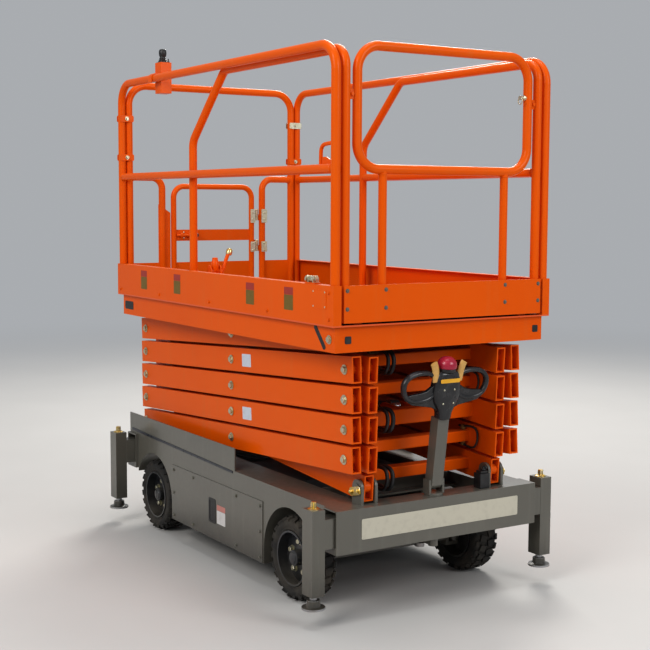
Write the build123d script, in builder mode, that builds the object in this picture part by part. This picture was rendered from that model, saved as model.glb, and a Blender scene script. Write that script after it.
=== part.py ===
"""Mobile scissor lift with a five-level scissor, four pull-out outriggers and a towing tiller.

Millimetres. The origin is on the ground under the middle of the machine, +Z is up and
+X points to the front, where the tiller stands. Right is -Y and left is +Y.
"""
from build123d import *
from math import cos, hypot, radians, sin
import os

# Platform
DECK_TOP = 1205.0
DECK_LENGTH = 2116.0
DECK_WIDTH = 1102.0
DECK_PLATE = 6.0
TOE_HEIGHT = 155.0
TOE_SHEET = 3.0
SKIRT_DEPTH = 103.0
SKIRT_SHEET = 6.0
SKIRT_INSET = 22.0
SKIRT_LUG_GAP = 22.0
RAIL_HEIGHT = 1100.0
RAIL_TUBE = 38.0
RAIL_BEND = 100.0
MID_RAIL_HEIGHT = 606.0
CROSS_MEMBER_X = (-300.0, 0.0, 300.0)
CROSS_MEMBER_WIDTH = 40.0
CROSS_MEMBER_DEPTH = 36.0
TRACK_END = -230.0
GATE_HALF = 252.0
GATE_TUBE = 15.0
GATE_HEIGHT = 576.0
GATE_BEND = 60.0
GATE_BAR_HEIGHT = 270.0
GATE_BAR = 60.0
GATE_FOOT_GAP = 25.0
GATE_POST_GAP = 52.0
GATE_POST_RADIUS = 18.0
HINGE_OFFSET = 14.0
HINGE_HEIGHTS = (225.0, 395.0)
HINGE_RADIUS = 10.0
HINGE_HALF = 16.0
HINGE_LEAF = 45.0
LATCH_PLATE_REACH = (6.0, 73.0)
LATCH_PLATE_HEIGHTS = (115.0, 420.0, 465.0)
CONTROL_X = -650.0
CONTROL_WIDTH = 110.0
CONTROL_DEPTH = 60.0
CONTROL_UNDER = 72.0
CONTROL_OVER = 78.0
STICK_LENGTH = 67.0
STICK_RADIUS = 12.0

# Extension deck
EXT_REAR_X = -310.0
EXT_SLOPE_RUN = 345.0
EXT_SLOPE_DROP = 305.0
EXT_RAIL_GAP = 6.7
EXT_FLOOR_GAP = 8.0
EXT_FLOOR_SHEET = 4.0
EXT_PANEL_OVERLAP = 16.0
RUNNER_INSET = 44.0
RUNNER_WIDTH = 40.0
EXT_BEND = 70.0
LOOP_INSET = 54.0
LOWER_POST_INSET = 122.0
LOWER_POST_RADIUS = 17.0
EAR_DROP = 190.0
EAR_HALF = 20.0
STRAP_HALF = 4.0

# Scissor
LEVELS = 5
LEVEL_PITCH = 121.5
FRONT_PIN_INSET = 103.0
REAR_PIN_INSET = 83.0
BOTTOM_PIN_Z = 532.0
ARM_DEPTH = 108.0
ARM_WIDTH = 45.0
ARM_WALL = 6.0
ARM_END = 54.0
LOW_ARM_END = 28.0
INNER_ARM_Y = 328.5
ARM_GAP = 34.0
PIN_RADIUS = 17.0
RUNNING_FIT = 0.08
CROSS_TUBE = 50.0
HEAD_TUBE_DEPTH = 66.0
CROSS_TUBE_FRONT = 150.0
CROSS_TUBE_REAR_INSET = 433.8
ROLLER_RADIUS = 45.0
ROLLER_WIDTH = 18.0

# Lift cylinder
CYLINDER_FOOT_INSET = 143.8
CYLINDER_HEAD = 280.0
REAR_LUG = 90.0
FRONT_LUG = 150.0
BARREL_RADIUS = 42.0
BARREL_COLLAR = 3.0
BARREL_START = 56.0
ROD_SHOWN = 214.3
ROD_START = 94.0
ROD_RADIUS = 25.0
EYE_RADIUS = 34.0
EYE_WIDTH = 44.0
LUG_SHEET = 12.0
LUG_GAP = 69.4

# Chassis
CHASSIS_TOP = 466.0
CHASSIS_BOTTOM = 105.0
BOX_OUTER_Y = 500.0
BOX_INNER_Y = 340.0
BEAM_INSET = 25.0
BEAM_DEPTH = 103.0
BEAM_HEIGHT = 178.0
BEAM_HALF = 515.0
BEAM_WALL = 6.0
FLOOR_SHEET = 6.0
LUG_RADIUS = 34.0
LUG_SIDE_GAP = 5.5
PAD_LENGTH = 60.0
PACK_GAP_REAR = 40.0
PACK_GAP_FRONT = 42.0
PACK_HALF = 300.0
PACK_TOP = 440.0
SIDE_PLATE_TOP = 570.0
SIDE_PLATE_FRONT = 150.0
SIDE_PLATE_SHEET = 6.0
PANEL_TOP = 380.0
PANEL_SHEET = 4.0
PANEL_GAPS = (10.0, 8.0)
SLOT_X = (-98.0, -38.0)
SLOT_Z = (186.0, 292.0)
SLOT_DEPTH = 12.0
LADDER_HALF = 200.0
LADDER_STAND = 60.0
LADDER_BAR = 11.0
LADDER_BEND = 25.0
LADDER_TOP = 960.0
LADDER_FOOT = 30.0
RUNG_HEIGHTS = (380.0, 610.0, 840.0)
RUNG_RADIUS = 9.0

# Wheels and steering
REAR_WHEEL_INSET = 195.0
FRONT_WHEEL_INSET = 290.0
TYRE_RADIUS = 180.0
TYRE_WIDTH = 120.0
RIM_RADIUS = 118.0
RIM_WALL = 8.0
WHEEL_Y = 432.0
REAR_ARCH = 215.0
FRONT_ARCH = 218.0
STUB_RADIUS = 18.0
AXLE_HALF = 25.0
AXLE_REACH = 345.0
STUB_END = 40.0
REAR_STAND_Y = (240.0, 320.0)
REAR_STAND_HALF = 35.0
KINGPIN_Y = 375.0
KINGPIN_RADIUS = 12.0
KNUCKLE_RADIUS = 24.0
FORK_RADIUS = 26.0
FORK_SHEET = 15.0
FORK_GAP = 37.0
FORK_WEB_Y = (315.0, 330.0)
FRONT_POST_Y = (170.0, 230.0)
BRIDGE_HALF = 60.0
BRIDGE_DROP = 48.0
BRIDGE_SHEET = 8.0
STEER_ARM = 135.0
STEER_ARM_INSET = (14.0, 28.0)
STEER_ARM_HALF = 10.0
CRANK_ARM = 93.0
CRANK_HALF = 18.0
CRANK_Z = (252.0, 268.0)
LINK_PIN_RADIUS = 9.0
LINK_EYE_RADIUS = 20.0
TIE_ROD_Z = 231.0
TIE_ROD_RADIUS = 10.0
TIE_ROD_EYE = 18.0
TIE_EYE_HALF = 11.0
TYRE_FILLET = 16.0
DISC_SHEET = 12.0
HUB_REACH = (-15.0, 45.0)
HUB_WALL = 16.0

# Outriggers
OUTRIGGER_Y = 560.0
LEG_WIDTH = 60.0
LEG_DEPTH = 75.0
LEG_BOTTOM = 130.0
LEG_TOP = 478.0
LEG_INSET = 13.0
SLIDE_TUBE_DEPTH = 75.0
SLIDE_TUBE_HEIGHT = 120.0
SLIDE_TUBE_START = 70.0
SCREW_RADIUS = 15.0
FOOT_BOTTOM = 75.0
FOOT_RADIUS = 48.0
FOOT_SHEET = 8.0
FOOT_COLLAR = 26.0
FOOT_COLLAR_TOP = 36.0
SCREW_TOP_GAP = 20.0
DRIVE_RADIUS = 12.0
DRIVE_HEIGHT = 22.0
DRIVE_WASHER = 4.0

# Tiller
TILLER_PIVOT_Z = 512.0
TILLER_LEAN = 7.7
TILLER_LENGTH = 290.0
TILLER_TUBE = 56.0
TILLER_TUBE_DEPTH = 50.0
YOKE_SHAFT = 20.0
YOKE_BOTTOM = 248.0
YOKE_FLANGE = 40.0
YOKE_SHEET = 10.0
YOKE_HALF = 22.0
HEAD_HALF = 220.0
HEAD_SHEET = 28.0
HEAD_BODY_DEPTH = 58.0
HEAD_FORWARD = 14.0
HEAD_BOTTOM = 335.0
HEAD_TOP = 490.0
BUTTON_RADIUS = 38.0
BUTTON_HEIGHT = 62.0

SEAT_GAP = 0.3

DECK_HALF_X = DECK_LENGTH / 2
DECK_HALF_Y = DECK_WIDTH / 2
FRONT_PIN_X = DECK_HALF_X - FRONT_PIN_INSET
REAR_PIN_X = REAR_PIN_INSET - DECK_HALF_X
BEAM_REACH = DECK_HALF_X - BEAM_INSET
RAIL_RADIUS = RAIL_TUBE / 2
MID_RAIL_RADIUS = RAIL_RADIUS - 1
RAIL_Y = DECK_HALF_Y - TOE_SHEET - SEAT_GAP - RAIL_RADIUS
RAIL_X = DECK_HALF_X - TOE_SHEET - SEAT_GAP - RAIL_RADIUS
RAIL_Z = DECK_TOP + RAIL_HEIGHT - RAIL_RADIUS
MID_Z = DECK_TOP + MID_RAIL_HEIGHT
DECK_UNDER = DECK_TOP - DECK_PLATE
SKIRT_BOTTOM = DECK_UNDER - SKIRT_DEPTH
SKIRT_X = DECK_HALF_X - SKIRT_INSET
SKIRT_Y = DECK_HALF_Y - SKIRT_INSET
ARM_RUN = FRONT_PIN_X - REAR_PIN_X
ARM_LENGTH = hypot(ARM_RUN, LEVEL_PITCH)
CYLINDER_FOOT = round(ARM_LENGTH - CYLINDER_FOOT_INSET, 1)
CROSS_TUBE_REAR = round(ARM_LENGTH - CROSS_TUBE_REAR_INSET, 1)
OUTER_ARM_Y = INNER_ARM_Y + ARM_WIDTH + ARM_GAP
TOP_PIN_Z = BOTTOM_PIN_Z + LEVELS * LEVEL_PITCH
ROLLER_Y = INNER_ARM_Y + (ARM_WIDTH + ARM_GAP) / 2
BEAM_BOTTOM = CHASSIS_TOP - BEAM_HEIGHT
BEAM_INNER = BEAM_REACH - BEAM_DEPTH
BEAM_X = BEAM_REACH - BEAM_DEPTH / 2
REAR_WHEEL_X = REAR_WHEEL_INSET - BEAM_INNER
FRONT_WHEEL_X = BEAM_INNER - FRONT_WHEEL_INSET
LEG_FRONT = BEAM_REACH - LEG_INSET
TILLER_X = BEAM_X
EXT_RAIL_Y = RAIL_Y - RAIL_TUBE - EXT_RAIL_GAP
EXT_PANEL_HALF = EXT_RAIL_Y + EXT_PANEL_OVERLAP
LOOP_HALF = EXT_RAIL_Y - LOOP_INSET
LOWER_POST_Y = LOOP_HALF - LOWER_POST_INSET
EXT_FLOOR_Z = DECK_TOP + EXT_FLOOR_GAP
EXT_TOP_Z = RAIL_Z - 15.0
EXT_POST_X = DECK_HALF_X - 25.0
SIDES = ((-1, "right"), (1, "left"))
ENDS = ((1, "front"), (-1, "rear"))

os.makedirs("parts", exist_ok=True)


def save(shape, label):
    """Name a finished piece and write it."""
    shape.label = label
    export_step(shape, f"parts/{label}.step")


def block(x0, x1, y0, y1, z0, z1, mode=Mode.ADD):
    """Add or cut a box between two opposite corners."""
    with Locations(((x0 + x1) / 2, (y0 + y1) / 2, (z0 + z1) / 2)):
        Box(abs(x1 - x0), abs(y1 - y0), abs(z1 - z0), mode=mode)


def rod(start, end, radius, mode=Mode.ADD):
    """Add or cut a round bar from one point to another."""
    axis = Vector(*end) - Vector(*start)
    with BuildSketch(Plane(origin=start, z_dir=axis)) as section:
        Circle(radius)
    extrude(section.sketch, amount=axis.length, mode=mode)


def bent_tube(points, radius, bend, close=False):
    """Sweep a round tube along straight runs joined by equal bends."""
    with BuildLine() as path:
        FilletPolyline(*points, radius=bend, close=close)
    start = path.line @ 0
    with BuildSketch(Plane(origin=start, z_dir=path.line % 0)) as section:
        Circle(radius)
    sweep(section.sketch, path=path.line)


# Arms of the scissor


def arm_plane(low_x, level, y):
    """Plane in the middle of one arm, its X along the arm from the front to the rear end."""
    rise = LEVEL_PITCH if low_x == FRONT_PIN_X else -LEVEL_PITCH
    middle = ((FRONT_PIN_X + REAR_PIN_X) / 2, y, BOTTOM_PIN_Z + (level - 0.5) * LEVEL_PITCH)
    return Plane(origin=middle, x_dir=(-ARM_RUN, 0, rise), z_dir=(0, 1, 0))


def arm_point(low_x, level, distance):
    """X and Z of the arm's centre line at a distance from its front pin."""
    along = distance / ARM_LENGTH
    if low_x == FRONT_PIN_X:
        height = (level - 1 + along) * LEVEL_PITCH
    else:
        height = (level - along) * LEVEL_PITCH
    return FRONT_PIN_X - ARM_RUN * along, BOTTOM_PIN_Z + height


def hollow_arm(plane, front, rear):
    """One box-section arm, open at both ends, that reaches past its pins or is round there."""
    with BuildSketch(plane.offset(-ARM_WIDTH / 2)) as outline:
        with Locations(((rear - front) / 2, 0)):
            Rectangle(ARM_LENGTH + front + rear, ARM_DEPTH)
        for reach, end in ((front, -1), (rear, 1)):
            if reach == 0:
                with Locations((end * ARM_LENGTH / 2, 0)):
                    Circle(ARM_DEPTH / 2)
    extrude(outline.sketch, amount=ARM_WIDTH)
    with BuildSketch(plane.offset(ARM_WALL - ARM_WIDTH / 2)) as hollow:
        Rectangle(ARM_LENGTH + 2 * ARM_DEPTH, ARM_DEPTH - 2 * ARM_WALL)
    extrude(hollow.sketch, amount=ARM_WIDTH - 2 * ARM_WALL, mode=Mode.SUBTRACT)


def boss(x, z, y0, y1, radius):
    """Round bush between the walls of an arm."""
    rod((x, y0, z), (x, y1, z), radius)


def cylinder_lugs(low_x, level, tube_at, pin_at):
    """Two lugs that reach from a cross tube to the pin of the lift cylinder."""
    tube_x, tube_z = arm_point(low_x, level, tube_at)
    pin_x, pin_z = arm_point(low_x, level, pin_at)
    for y in (-LUG_GAP / 2 - LUG_SHEET, LUG_GAP / 2):
        plane = Plane(origin=((tube_x + pin_x) / 2, y, (tube_z + pin_z) / 2),
                      x_dir=(pin_x - tube_x, 0, pin_z - tube_z), z_dir=(0, 1, 0))
        with BuildSketch(plane) as outline:
            SlotCenterToCenter(abs(tube_at - pin_at), CROSS_TUBE)
        extrude(outline.sketch, amount=LUG_SHEET)


def inner_arms(level):
    """Pair of inner arms that rise to the rear, tied by two square tubes."""
    tubes = [CROSS_TUBE_FRONT, CROSS_TUBE_REAR]
    if level == 1:
        tubes[1] = CYLINDER_FOOT + REAR_LUG
    if level == 3:
        tubes[0] = CYLINDER_HEAD - FRONT_LUG
    ends = [arm_point(FRONT_PIN_X, level, at) for at in (0, ARM_LENGTH / 2, ARM_LENGTH)]
    half = ARM_WIDTH / 2
    with BuildPart() as pair:
        for side in (-1, 1):
            hollow_arm(arm_plane(FRONT_PIN_X, level, side * INNER_ARM_Y),
                       LOW_ARM_END if level == 1 else ARM_END, 0 if level == LEVELS else ARM_END)
            for x, z in ends:
                boss(x, z, side * INNER_ARM_Y - half, side * INNER_ARM_Y + half,
                     PIN_RADIUS + ARM_WALL)
        for at in tubes:
            x, z = arm_point(FRONT_PIN_X, level, at)
            plane = Plane(origin=(x, 0, z), x_dir=(-ARM_RUN, 0, LEVEL_PITCH), z_dir=(0, 1, 0))
            deep = HEAD_TUBE_DEPTH if level == 3 and at == tubes[0] else CROSS_TUBE
            with BuildSketch(plane.offset(half - INNER_ARM_Y)) as section:
                RectangleRounded(CROSS_TUBE, deep, ARM_WALL)
            extrude(section.sketch, amount=2 * INNER_ARM_Y - ARM_WIDTH)
        if level == 1:
            cylinder_lugs(FRONT_PIN_X, 1, tubes[1], CYLINDER_FOOT)
        if level == 3:
            cylinder_lugs(FRONT_PIN_X, 3, tubes[0], CYLINDER_HEAD)
        reach = INNER_ARM_Y + ARM_WIDTH
        bores = ends if level < LEVELS else ends[:2]
        for x, z in bores:
            rod((x, -reach, z), (x, reach, z), PIN_RADIUS + RUNNING_FIT, mode=Mode.SUBTRACT)
        if level == LEVELS:
            x, z = ends[2]
            for side in (-1, 1):
                rod((x, side * INNER_ARM_Y, z), (x, side * (ROLLER_Y + ROLLER_WIDTH / 2), z),
                    PIN_RADIUS)
        if level == 1:
            x, z = arm_point(FRONT_PIN_X, 1, CYLINDER_FOOT)
            rod((x, -LUG_GAP / 2 - LUG_SHEET, z), (x, LUG_GAP / 2 + LUG_SHEET, z), PIN_RADIUS)
    return pair.part


def outer_arms(level):
    """Pair of outer arms that rise to the front, with their pins and one shaft across."""
    front = arm_point(REAR_PIN_X, level, 0)
    middle = arm_point(REAR_PIN_X, level, ARM_LENGTH / 2)
    rear = arm_point(REAR_PIN_X, level, ARM_LENGTH)
    half = ARM_WIDTH / 2
    outside = OUTER_ARM_Y + half
    with BuildPart() as pair:
        for side in (-1, 1):
            hollow_arm(arm_plane(REAR_PIN_X, level, side * OUTER_ARM_Y),
                       0 if level == LEVELS else ARM_END, LOW_ARM_END if level == 1 else ARM_END)
            for x, z in (front, middle, rear):
                boss(x, z, side * (OUTER_ARM_Y - half), side * outside, PIN_RADIUS + ARM_WALL)
            inside = INNER_ARM_Y - half
            pins = [middle] if level > 1 else []
            pins += [front] if level < LEVELS else []
            for x, z in pins:
                rod((x, side * inside, z), (x, side * outside, z), PIN_RADIUS)
            if level == LEVELS:
                x, z = front
                rod((x, side * (OUTER_ARM_Y - half), z), (x, side * (SKIRT_Y - SKIRT_LUG_GAP), z),
                    PIN_RADIUS)
            if level == 1:
                x, z = rear
                rod((x, side * (ROLLER_Y - ROLLER_WIDTH / 2), z), (x, side * outside, z),
                    PIN_RADIUS)
        x, z = middle if level == 1 else rear
        rod((x, -outside, z), (x, outside, z), PIN_RADIUS)
    return pair.part


for number in range(1, LEVELS + 1):
    save(inner_arms(number), f"inner_arms_{number}")
    save(outer_arms(number), f"outer_arms_{number}")

# Rollers, under the rear end of the lowest and on the rear end of the highest arms
for place, x, z in (("bottom", *arm_point(REAR_PIN_X, 1, ARM_LENGTH)),
                    ("top", *arm_point(FRONT_PIN_X, LEVELS, ARM_LENGTH))):
    with BuildPart() as rollers:
        for side in (-1, 1):
            y0 = side * ROLLER_Y - ROLLER_WIDTH / 2
            rod((x, y0, z), (x, y0 + ROLLER_WIDTH, z), ROLLER_RADIUS)
            rod((x, y0, z), (x, y0 + ROLLER_WIDTH, z), PIN_RADIUS + RUNNING_FIT,
                mode=Mode.SUBTRACT)
    save(rollers.part, f"{place}_rollers")

# Lift cylinder
foot_x, foot_z = arm_point(FRONT_PIN_X, 1, CYLINDER_FOOT)
head_x, head_z = arm_point(FRONT_PIN_X, 3, CYLINDER_HEAD)
span = hypot(head_x - foot_x, head_z - foot_z)
BARREL_LENGTH = span - ROD_SHOWN
along_x = (head_x - foot_x) / span
along_z = (head_z - foot_z) / span


def on_cylinder(distance):
    """Point on the cylinder's axis at a distance from its foot pin."""
    return foot_x + along_x * distance, 0, foot_z + along_z * distance


with BuildPart() as barrel:
    rod((foot_x, -EYE_WIDTH / 2, foot_z), (foot_x, EYE_WIDTH / 2, foot_z), EYE_RADIUS)
    rod(on_cylinder(0), on_cylinder(BARREL_START + 1), EYE_WIDTH / 2)
    rod(on_cylinder(BARREL_START), on_cylinder(BARREL_LENGTH), BARREL_RADIUS)
    rod(on_cylinder(BARREL_LENGTH - BARREL_RADIUS), on_cylinder(BARREL_LENGTH),
        BARREL_RADIUS + BARREL_COLLAR)
    rod((foot_x, -EYE_WIDTH, foot_z), (foot_x, EYE_WIDTH, foot_z), PIN_RADIUS + RUNNING_FIT,
        mode=Mode.SUBTRACT)
    rod(on_cylinder(ROD_START - 2 * LUG_SHEET), on_cylinder(BARREL_LENGTH + 1),
        ROD_RADIUS + RUNNING_FIT, mode=Mode.SUBTRACT)
save(barrel.part, "cylinder_barrel")

with BuildPart() as piston_rod:
    rod(on_cylinder(ROD_START), on_cylinder(span), ROD_RADIUS)
    rod((head_x, -EYE_WIDTH / 2, head_z), (head_x, EYE_WIDTH / 2, head_z), EYE_RADIUS)
    reach = LUG_GAP / 2 - SEAT_GAP
    rod((head_x, -reach, head_z), (head_x, reach, head_z), PIN_RADIUS)
save(piston_rod.part, "cylinder_rod")

# Chassis: floor with the cross member over the front axle
with BuildPart() as base_floor:
    block(-BEAM_INNER, FRONT_WHEEL_X - FRONT_ARCH, -BOX_INNER_Y, BOX_INNER_Y,
          CHASSIS_BOTTOM, CHASSIS_BOTTOM + FLOOR_SHEET)
save(base_floor.part, "base_floor")

for side, hand in SIDES:
    with BuildPart() as side_box:
        outer = side * BOX_OUTER_Y
        inner = side * BOX_INNER_Y
        block(-BEAM_INNER, BEAM_INNER, inner, outer, CHASSIS_BOTTOM, CHASSIS_TOP)
        for x, radius in ((REAR_WHEEL_X, REAR_ARCH), (FRONT_WHEEL_X, FRONT_ARCH)):
            rod((x, inner - side, TYRE_RADIUS), (x, outer + side, TYRE_RADIUS), radius,
                mode=Mode.SUBTRACT)
            block(x - radius, x + radius, inner - side, outer + side, CHASSIS_BOTTOM - 1,
                  TYRE_RADIUS, mode=Mode.SUBTRACT)
        block(FRONT_WHEEL_X, BEAM_INNER + 1, inner - side, outer + side, CHASSIS_BOTTOM - 1,
              BEAM_BOTTOM, mode=Mode.SUBTRACT)
        block(REAR_WHEEL_X + REAR_ARCH + PANEL_GAPS[0], FRONT_WHEEL_X - FRONT_ARCH - PANEL_GAPS[1],
              outer, outer + side * PANEL_SHEET, CHASSIS_BOTTOM, PANEL_TOP)
        block(*SLOT_X, outer - side * SLOT_DEPTH, outer + side * PANEL_SHEET, *SLOT_Z,
              mode=Mode.SUBTRACT)
        block(-BEAM_REACH, SIDE_PLATE_FRONT, outer - side * SIDE_PLATE_SHEET, outer,
              CHASSIS_TOP, SIDE_PLATE_TOP)
        inner = side * (ROLLER_Y - ROLLER_WIDTH / 2 - 2)
        outer = side * (ROLLER_Y + ROLLER_WIDTH / 2 + 2)
        block(-BEAM_REACH, TRACK_END, inner, outer, CHASSIS_TOP,
              BOTTOM_PIN_Z - ROLLER_RADIUS - SEAT_GAP)
    save(side_box.part, f"side_box_{hand}")

# Beams across both ends, hollow for the outriggers that slide in them
for end, name in ENDS:
    with BuildPart() as beam:
        near = end * BEAM_INNER
        far = end * BEAM_REACH
        block(near, far, -BEAM_HALF, BEAM_HALF, BEAM_BOTTOM, CHASSIS_TOP)
        block(near + end * BEAM_WALL, far - end * BEAM_WALL, -BEAM_HALF - 1, BEAM_HALF + 1,
              BEAM_BOTTOM + BEAM_WALL, CHASSIS_TOP - BEAM_WALL, mode=Mode.SUBTRACT)
        for side in (-1, 1):
            pad_top = 0.5 * (BEAM_BOTTOM + CHASSIS_TOP) - SLIDE_TUBE_HEIGHT / 2 - SEAT_GAP
            block(near + end * BEAM_WALL, far - end * BEAM_WALL, side * (BEAM_HALF - PAD_LENGTH),
                  side * BEAM_HALF, BEAM_BOTTOM + BEAM_WALL, pad_top)
            if end > 0:
                clear = ARM_WIDTH / 2 + LUG_SIDE_GAP
                for y in (INNER_ARM_Y - clear - LUG_SHEET, INNER_ARM_Y + clear):
                    with BuildSketch(Plane.XZ.offset(-side * y)) as lug:
                        with Locations((FRONT_PIN_X, BOTTOM_PIN_Z)):
                            Circle(LUG_RADIUS)
                        with Locations((FRONT_PIN_X, (BOTTOM_PIN_Z + CHASSIS_TOP) / 2)):
                            Rectangle(2 * LUG_RADIUS, BOTTOM_PIN_Z - CHASSIS_TOP)
                    extrude(lug.sketch, amount=-side * LUG_SHEET)
        if end > 0:
            rod((TILLER_X, 0, BEAM_BOTTOM - 1), (TILLER_X, 0, CHASSIS_TOP + 1),
                YOKE_SHAFT + RUNNING_FIT, mode=Mode.SUBTRACT)
            reach = ARM_WIDTH / 2 + LUG_SIDE_GAP + LUG_SHEET + 4
            for side in (-1, 1):
                rod((FRONT_PIN_X, side * (INNER_ARM_Y - reach), BOTTOM_PIN_Z),
                    (FRONT_PIN_X, side * (INNER_ARM_Y + reach), BOTTOM_PIN_Z), PIN_RADIUS)
    save(beam.part, f"{name}_beam")

with BuildPart() as power_pack:
    block(REAR_WHEEL_X + REAR_ARCH + PACK_GAP_REAR, FRONT_WHEEL_X - FRONT_ARCH - PACK_GAP_FRONT,
          -PACK_HALF, PACK_HALF, CHASSIS_BOTTOM + FLOOR_SHEET, PACK_TOP)
save(power_pack.part, "power_pack")

# Entry ladder on the rear beam
with BuildPart() as ladder:
    foot_x = -BEAM_REACH - LADDER_BAR
    rail_x = -BEAM_REACH - LADDER_STAND
    foot_z = BEAM_BOTTOM + LADDER_FOOT
    for side in (-1, 1):
        y = side * LADDER_HALF
        bent_tube([(foot_x, y, foot_z), (rail_x, y, foot_z), (rail_x, y, LADDER_TOP),
                   (foot_x, y, LADDER_TOP)], LADDER_BAR, LADDER_BEND)
        block(foot_x - 1, -BEAM_REACH, y - LADDER_FOOT / 2, y + LADDER_FOOT / 2,
              foot_z - LADDER_FOOT * 2 / 3, foot_z + LADDER_FOOT)
    for z in RUNG_HEIGHTS:
        rod((rail_x, -LADDER_HALF, z), (rail_x, LADDER_HALF, z), RUNG_RADIUS)
save(ladder.part, "entry_ladder")

# Rear axle on the floor, front axle hung from its bridge between the side boxes
AXLE_BOTTOM = TYRE_RADIUS - AXLE_HALF
AXLE_TOP = TYRE_RADIUS + AXLE_HALF
with BuildPart() as rear_axle:
    block(REAR_WHEEL_X - AXLE_HALF, REAR_WHEEL_X + AXLE_HALF, -AXLE_REACH, AXLE_REACH,
          AXLE_BOTTOM, AXLE_TOP)
    for side in (-1, 1):
        block(REAR_WHEEL_X - REAR_STAND_HALF, REAR_WHEEL_X + REAR_STAND_HALF,
              side * REAR_STAND_Y[0], side * REAR_STAND_Y[1], CHASSIS_BOTTOM + FLOOR_SHEET,
              AXLE_BOTTOM)
    rod((REAR_WHEEL_X, -WHEEL_Y - STUB_END, TYRE_RADIUS),
        (REAR_WHEEL_X, WHEEL_Y + STUB_END, TYRE_RADIUS), STUB_RADIUS)
save(rear_axle.part, "rear_axle")

with BuildPart() as front_axle:
    x = FRONT_WHEEL_X
    bridge = CHASSIS_TOP - BRIDGE_DROP
    low = TYRE_RADIUS - FORK_GAP
    high = TYRE_RADIUS + FORK_GAP
    block(x - BRIDGE_HALF, x + BRIDGE_HALF, -BOX_INNER_Y, BOX_INNER_Y, bridge - BRIDGE_SHEET,
          bridge)
    block(x - BRIDGE_SHEET / 2, x + BRIDGE_SHEET / 2, -BOX_INNER_Y, BOX_INNER_Y, bridge,
          CHASSIS_TOP)
    block(x - AXLE_HALF, x + AXLE_HALF, -FORK_WEB_Y[1], FORK_WEB_Y[1], AXLE_BOTTOM, AXLE_TOP)
    for side in (-1, 1):
        block(x - AXLE_HALF, x + AXLE_HALF, side * FRONT_POST_Y[0], side * FRONT_POST_Y[1],
              AXLE_TOP, bridge - BRIDGE_SHEET)
        for z in (low - FORK_SHEET, high):
            with BuildSketch(Plane.XY.offset(z)) as fork:
                with Locations((x, side * KINGPIN_Y)):
                    Circle(FORK_RADIUS)
                with Locations((x, side * (KINGPIN_Y + FORK_WEB_Y[0]) / 2)):
                    Rectangle(2 * AXLE_HALF, KINGPIN_Y - FORK_WEB_Y[0])
            extrude(fork.sketch, amount=FORK_SHEET)
        block(x - AXLE_HALF, x + AXLE_HALF, side * FORK_WEB_Y[0], side * FORK_WEB_Y[1],
              low - FORK_SHEET, high + FORK_SHEET)
        rod((x, side * KINGPIN_Y, low - FORK_SHEET), (x, side * KINGPIN_Y, high + FORK_SHEET),
            KINGPIN_RADIUS)
save(front_axle.part, "front_axle")

ARM_PIN_X = FRONT_WHEEL_X - STEER_ARM
ARM_PIN_Y = KINGPIN_Y - STEER_ARM_INSET[1]
CRANK_X = TILLER_X - CRANK_ARM
TIE_ROD_HALF = 0.8 * TIE_ROD_RADIUS
for side, hand in SIDES:
    with BuildPart() as knuckle:
        x = FRONT_WHEEL_X
        y = side * KINGPIN_Y
        rod((x, y, low + SEAT_GAP), (x, y, high - SEAT_GAP), KNUCKLE_RADIUS)
        rod((x, y, TYRE_RADIUS), (x, side * (WHEEL_Y + STUB_END), TYRE_RADIUS), STUB_RADIUS)
        block(ARM_PIN_X, x - KINGPIN_RADIUS, side * (KINGPIN_Y - STEER_ARM_INSET[0]),
              side * ARM_PIN_Y, TYRE_RADIUS - STEER_ARM_HALF, TYRE_RADIUS + STEER_ARM_HALF)
        rod((ARM_PIN_X, side * ARM_PIN_Y, TYRE_RADIUS - STEER_ARM_HALF),
            (ARM_PIN_X, side * ARM_PIN_Y, TYRE_RADIUS + STEER_ARM_HALF), STEER_ARM_INSET[0])
        rod((ARM_PIN_X, side * ARM_PIN_Y, TYRE_RADIUS),
            (ARM_PIN_X, side * ARM_PIN_Y, TIE_ROD_Z - TIE_EYE_HALF - SEAT_GAP), LINK_PIN_RADIUS)
        rod((x, y, low - 1), (x, y, high + 1), KINGPIN_RADIUS + RUNNING_FIT, mode=Mode.SUBTRACT)
    save(knuckle.part, f"knuckle_{hand}")

with BuildPart() as tie_rod:
    rod((ARM_PIN_X, -ARM_PIN_Y, TIE_ROD_Z), (ARM_PIN_X, ARM_PIN_Y, TIE_ROD_Z), TIE_ROD_RADIUS)
    for side in (-1, 1):
        rod((ARM_PIN_X, side * ARM_PIN_Y, TIE_ROD_Z - TIE_EYE_HALF),
            (ARM_PIN_X, side * ARM_PIN_Y, TIE_ROD_Z + TIE_EYE_HALF), TIE_ROD_EYE)
    block(ARM_PIN_X, CRANK_X, -1.5 * TIE_ROD_RADIUS, 1.5 * TIE_ROD_RADIUS,
          TIE_ROD_Z - TIE_ROD_HALF, TIE_ROD_Z + TIE_ROD_HALF)
    rod((CRANK_X, 0, TIE_ROD_Z - TIE_ROD_HALF), (CRANK_X, 0, TIE_ROD_Z + TIE_ROD_HALF),
        LINK_EYE_RADIUS)
save(tie_rod.part, "tie_rod")

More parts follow.
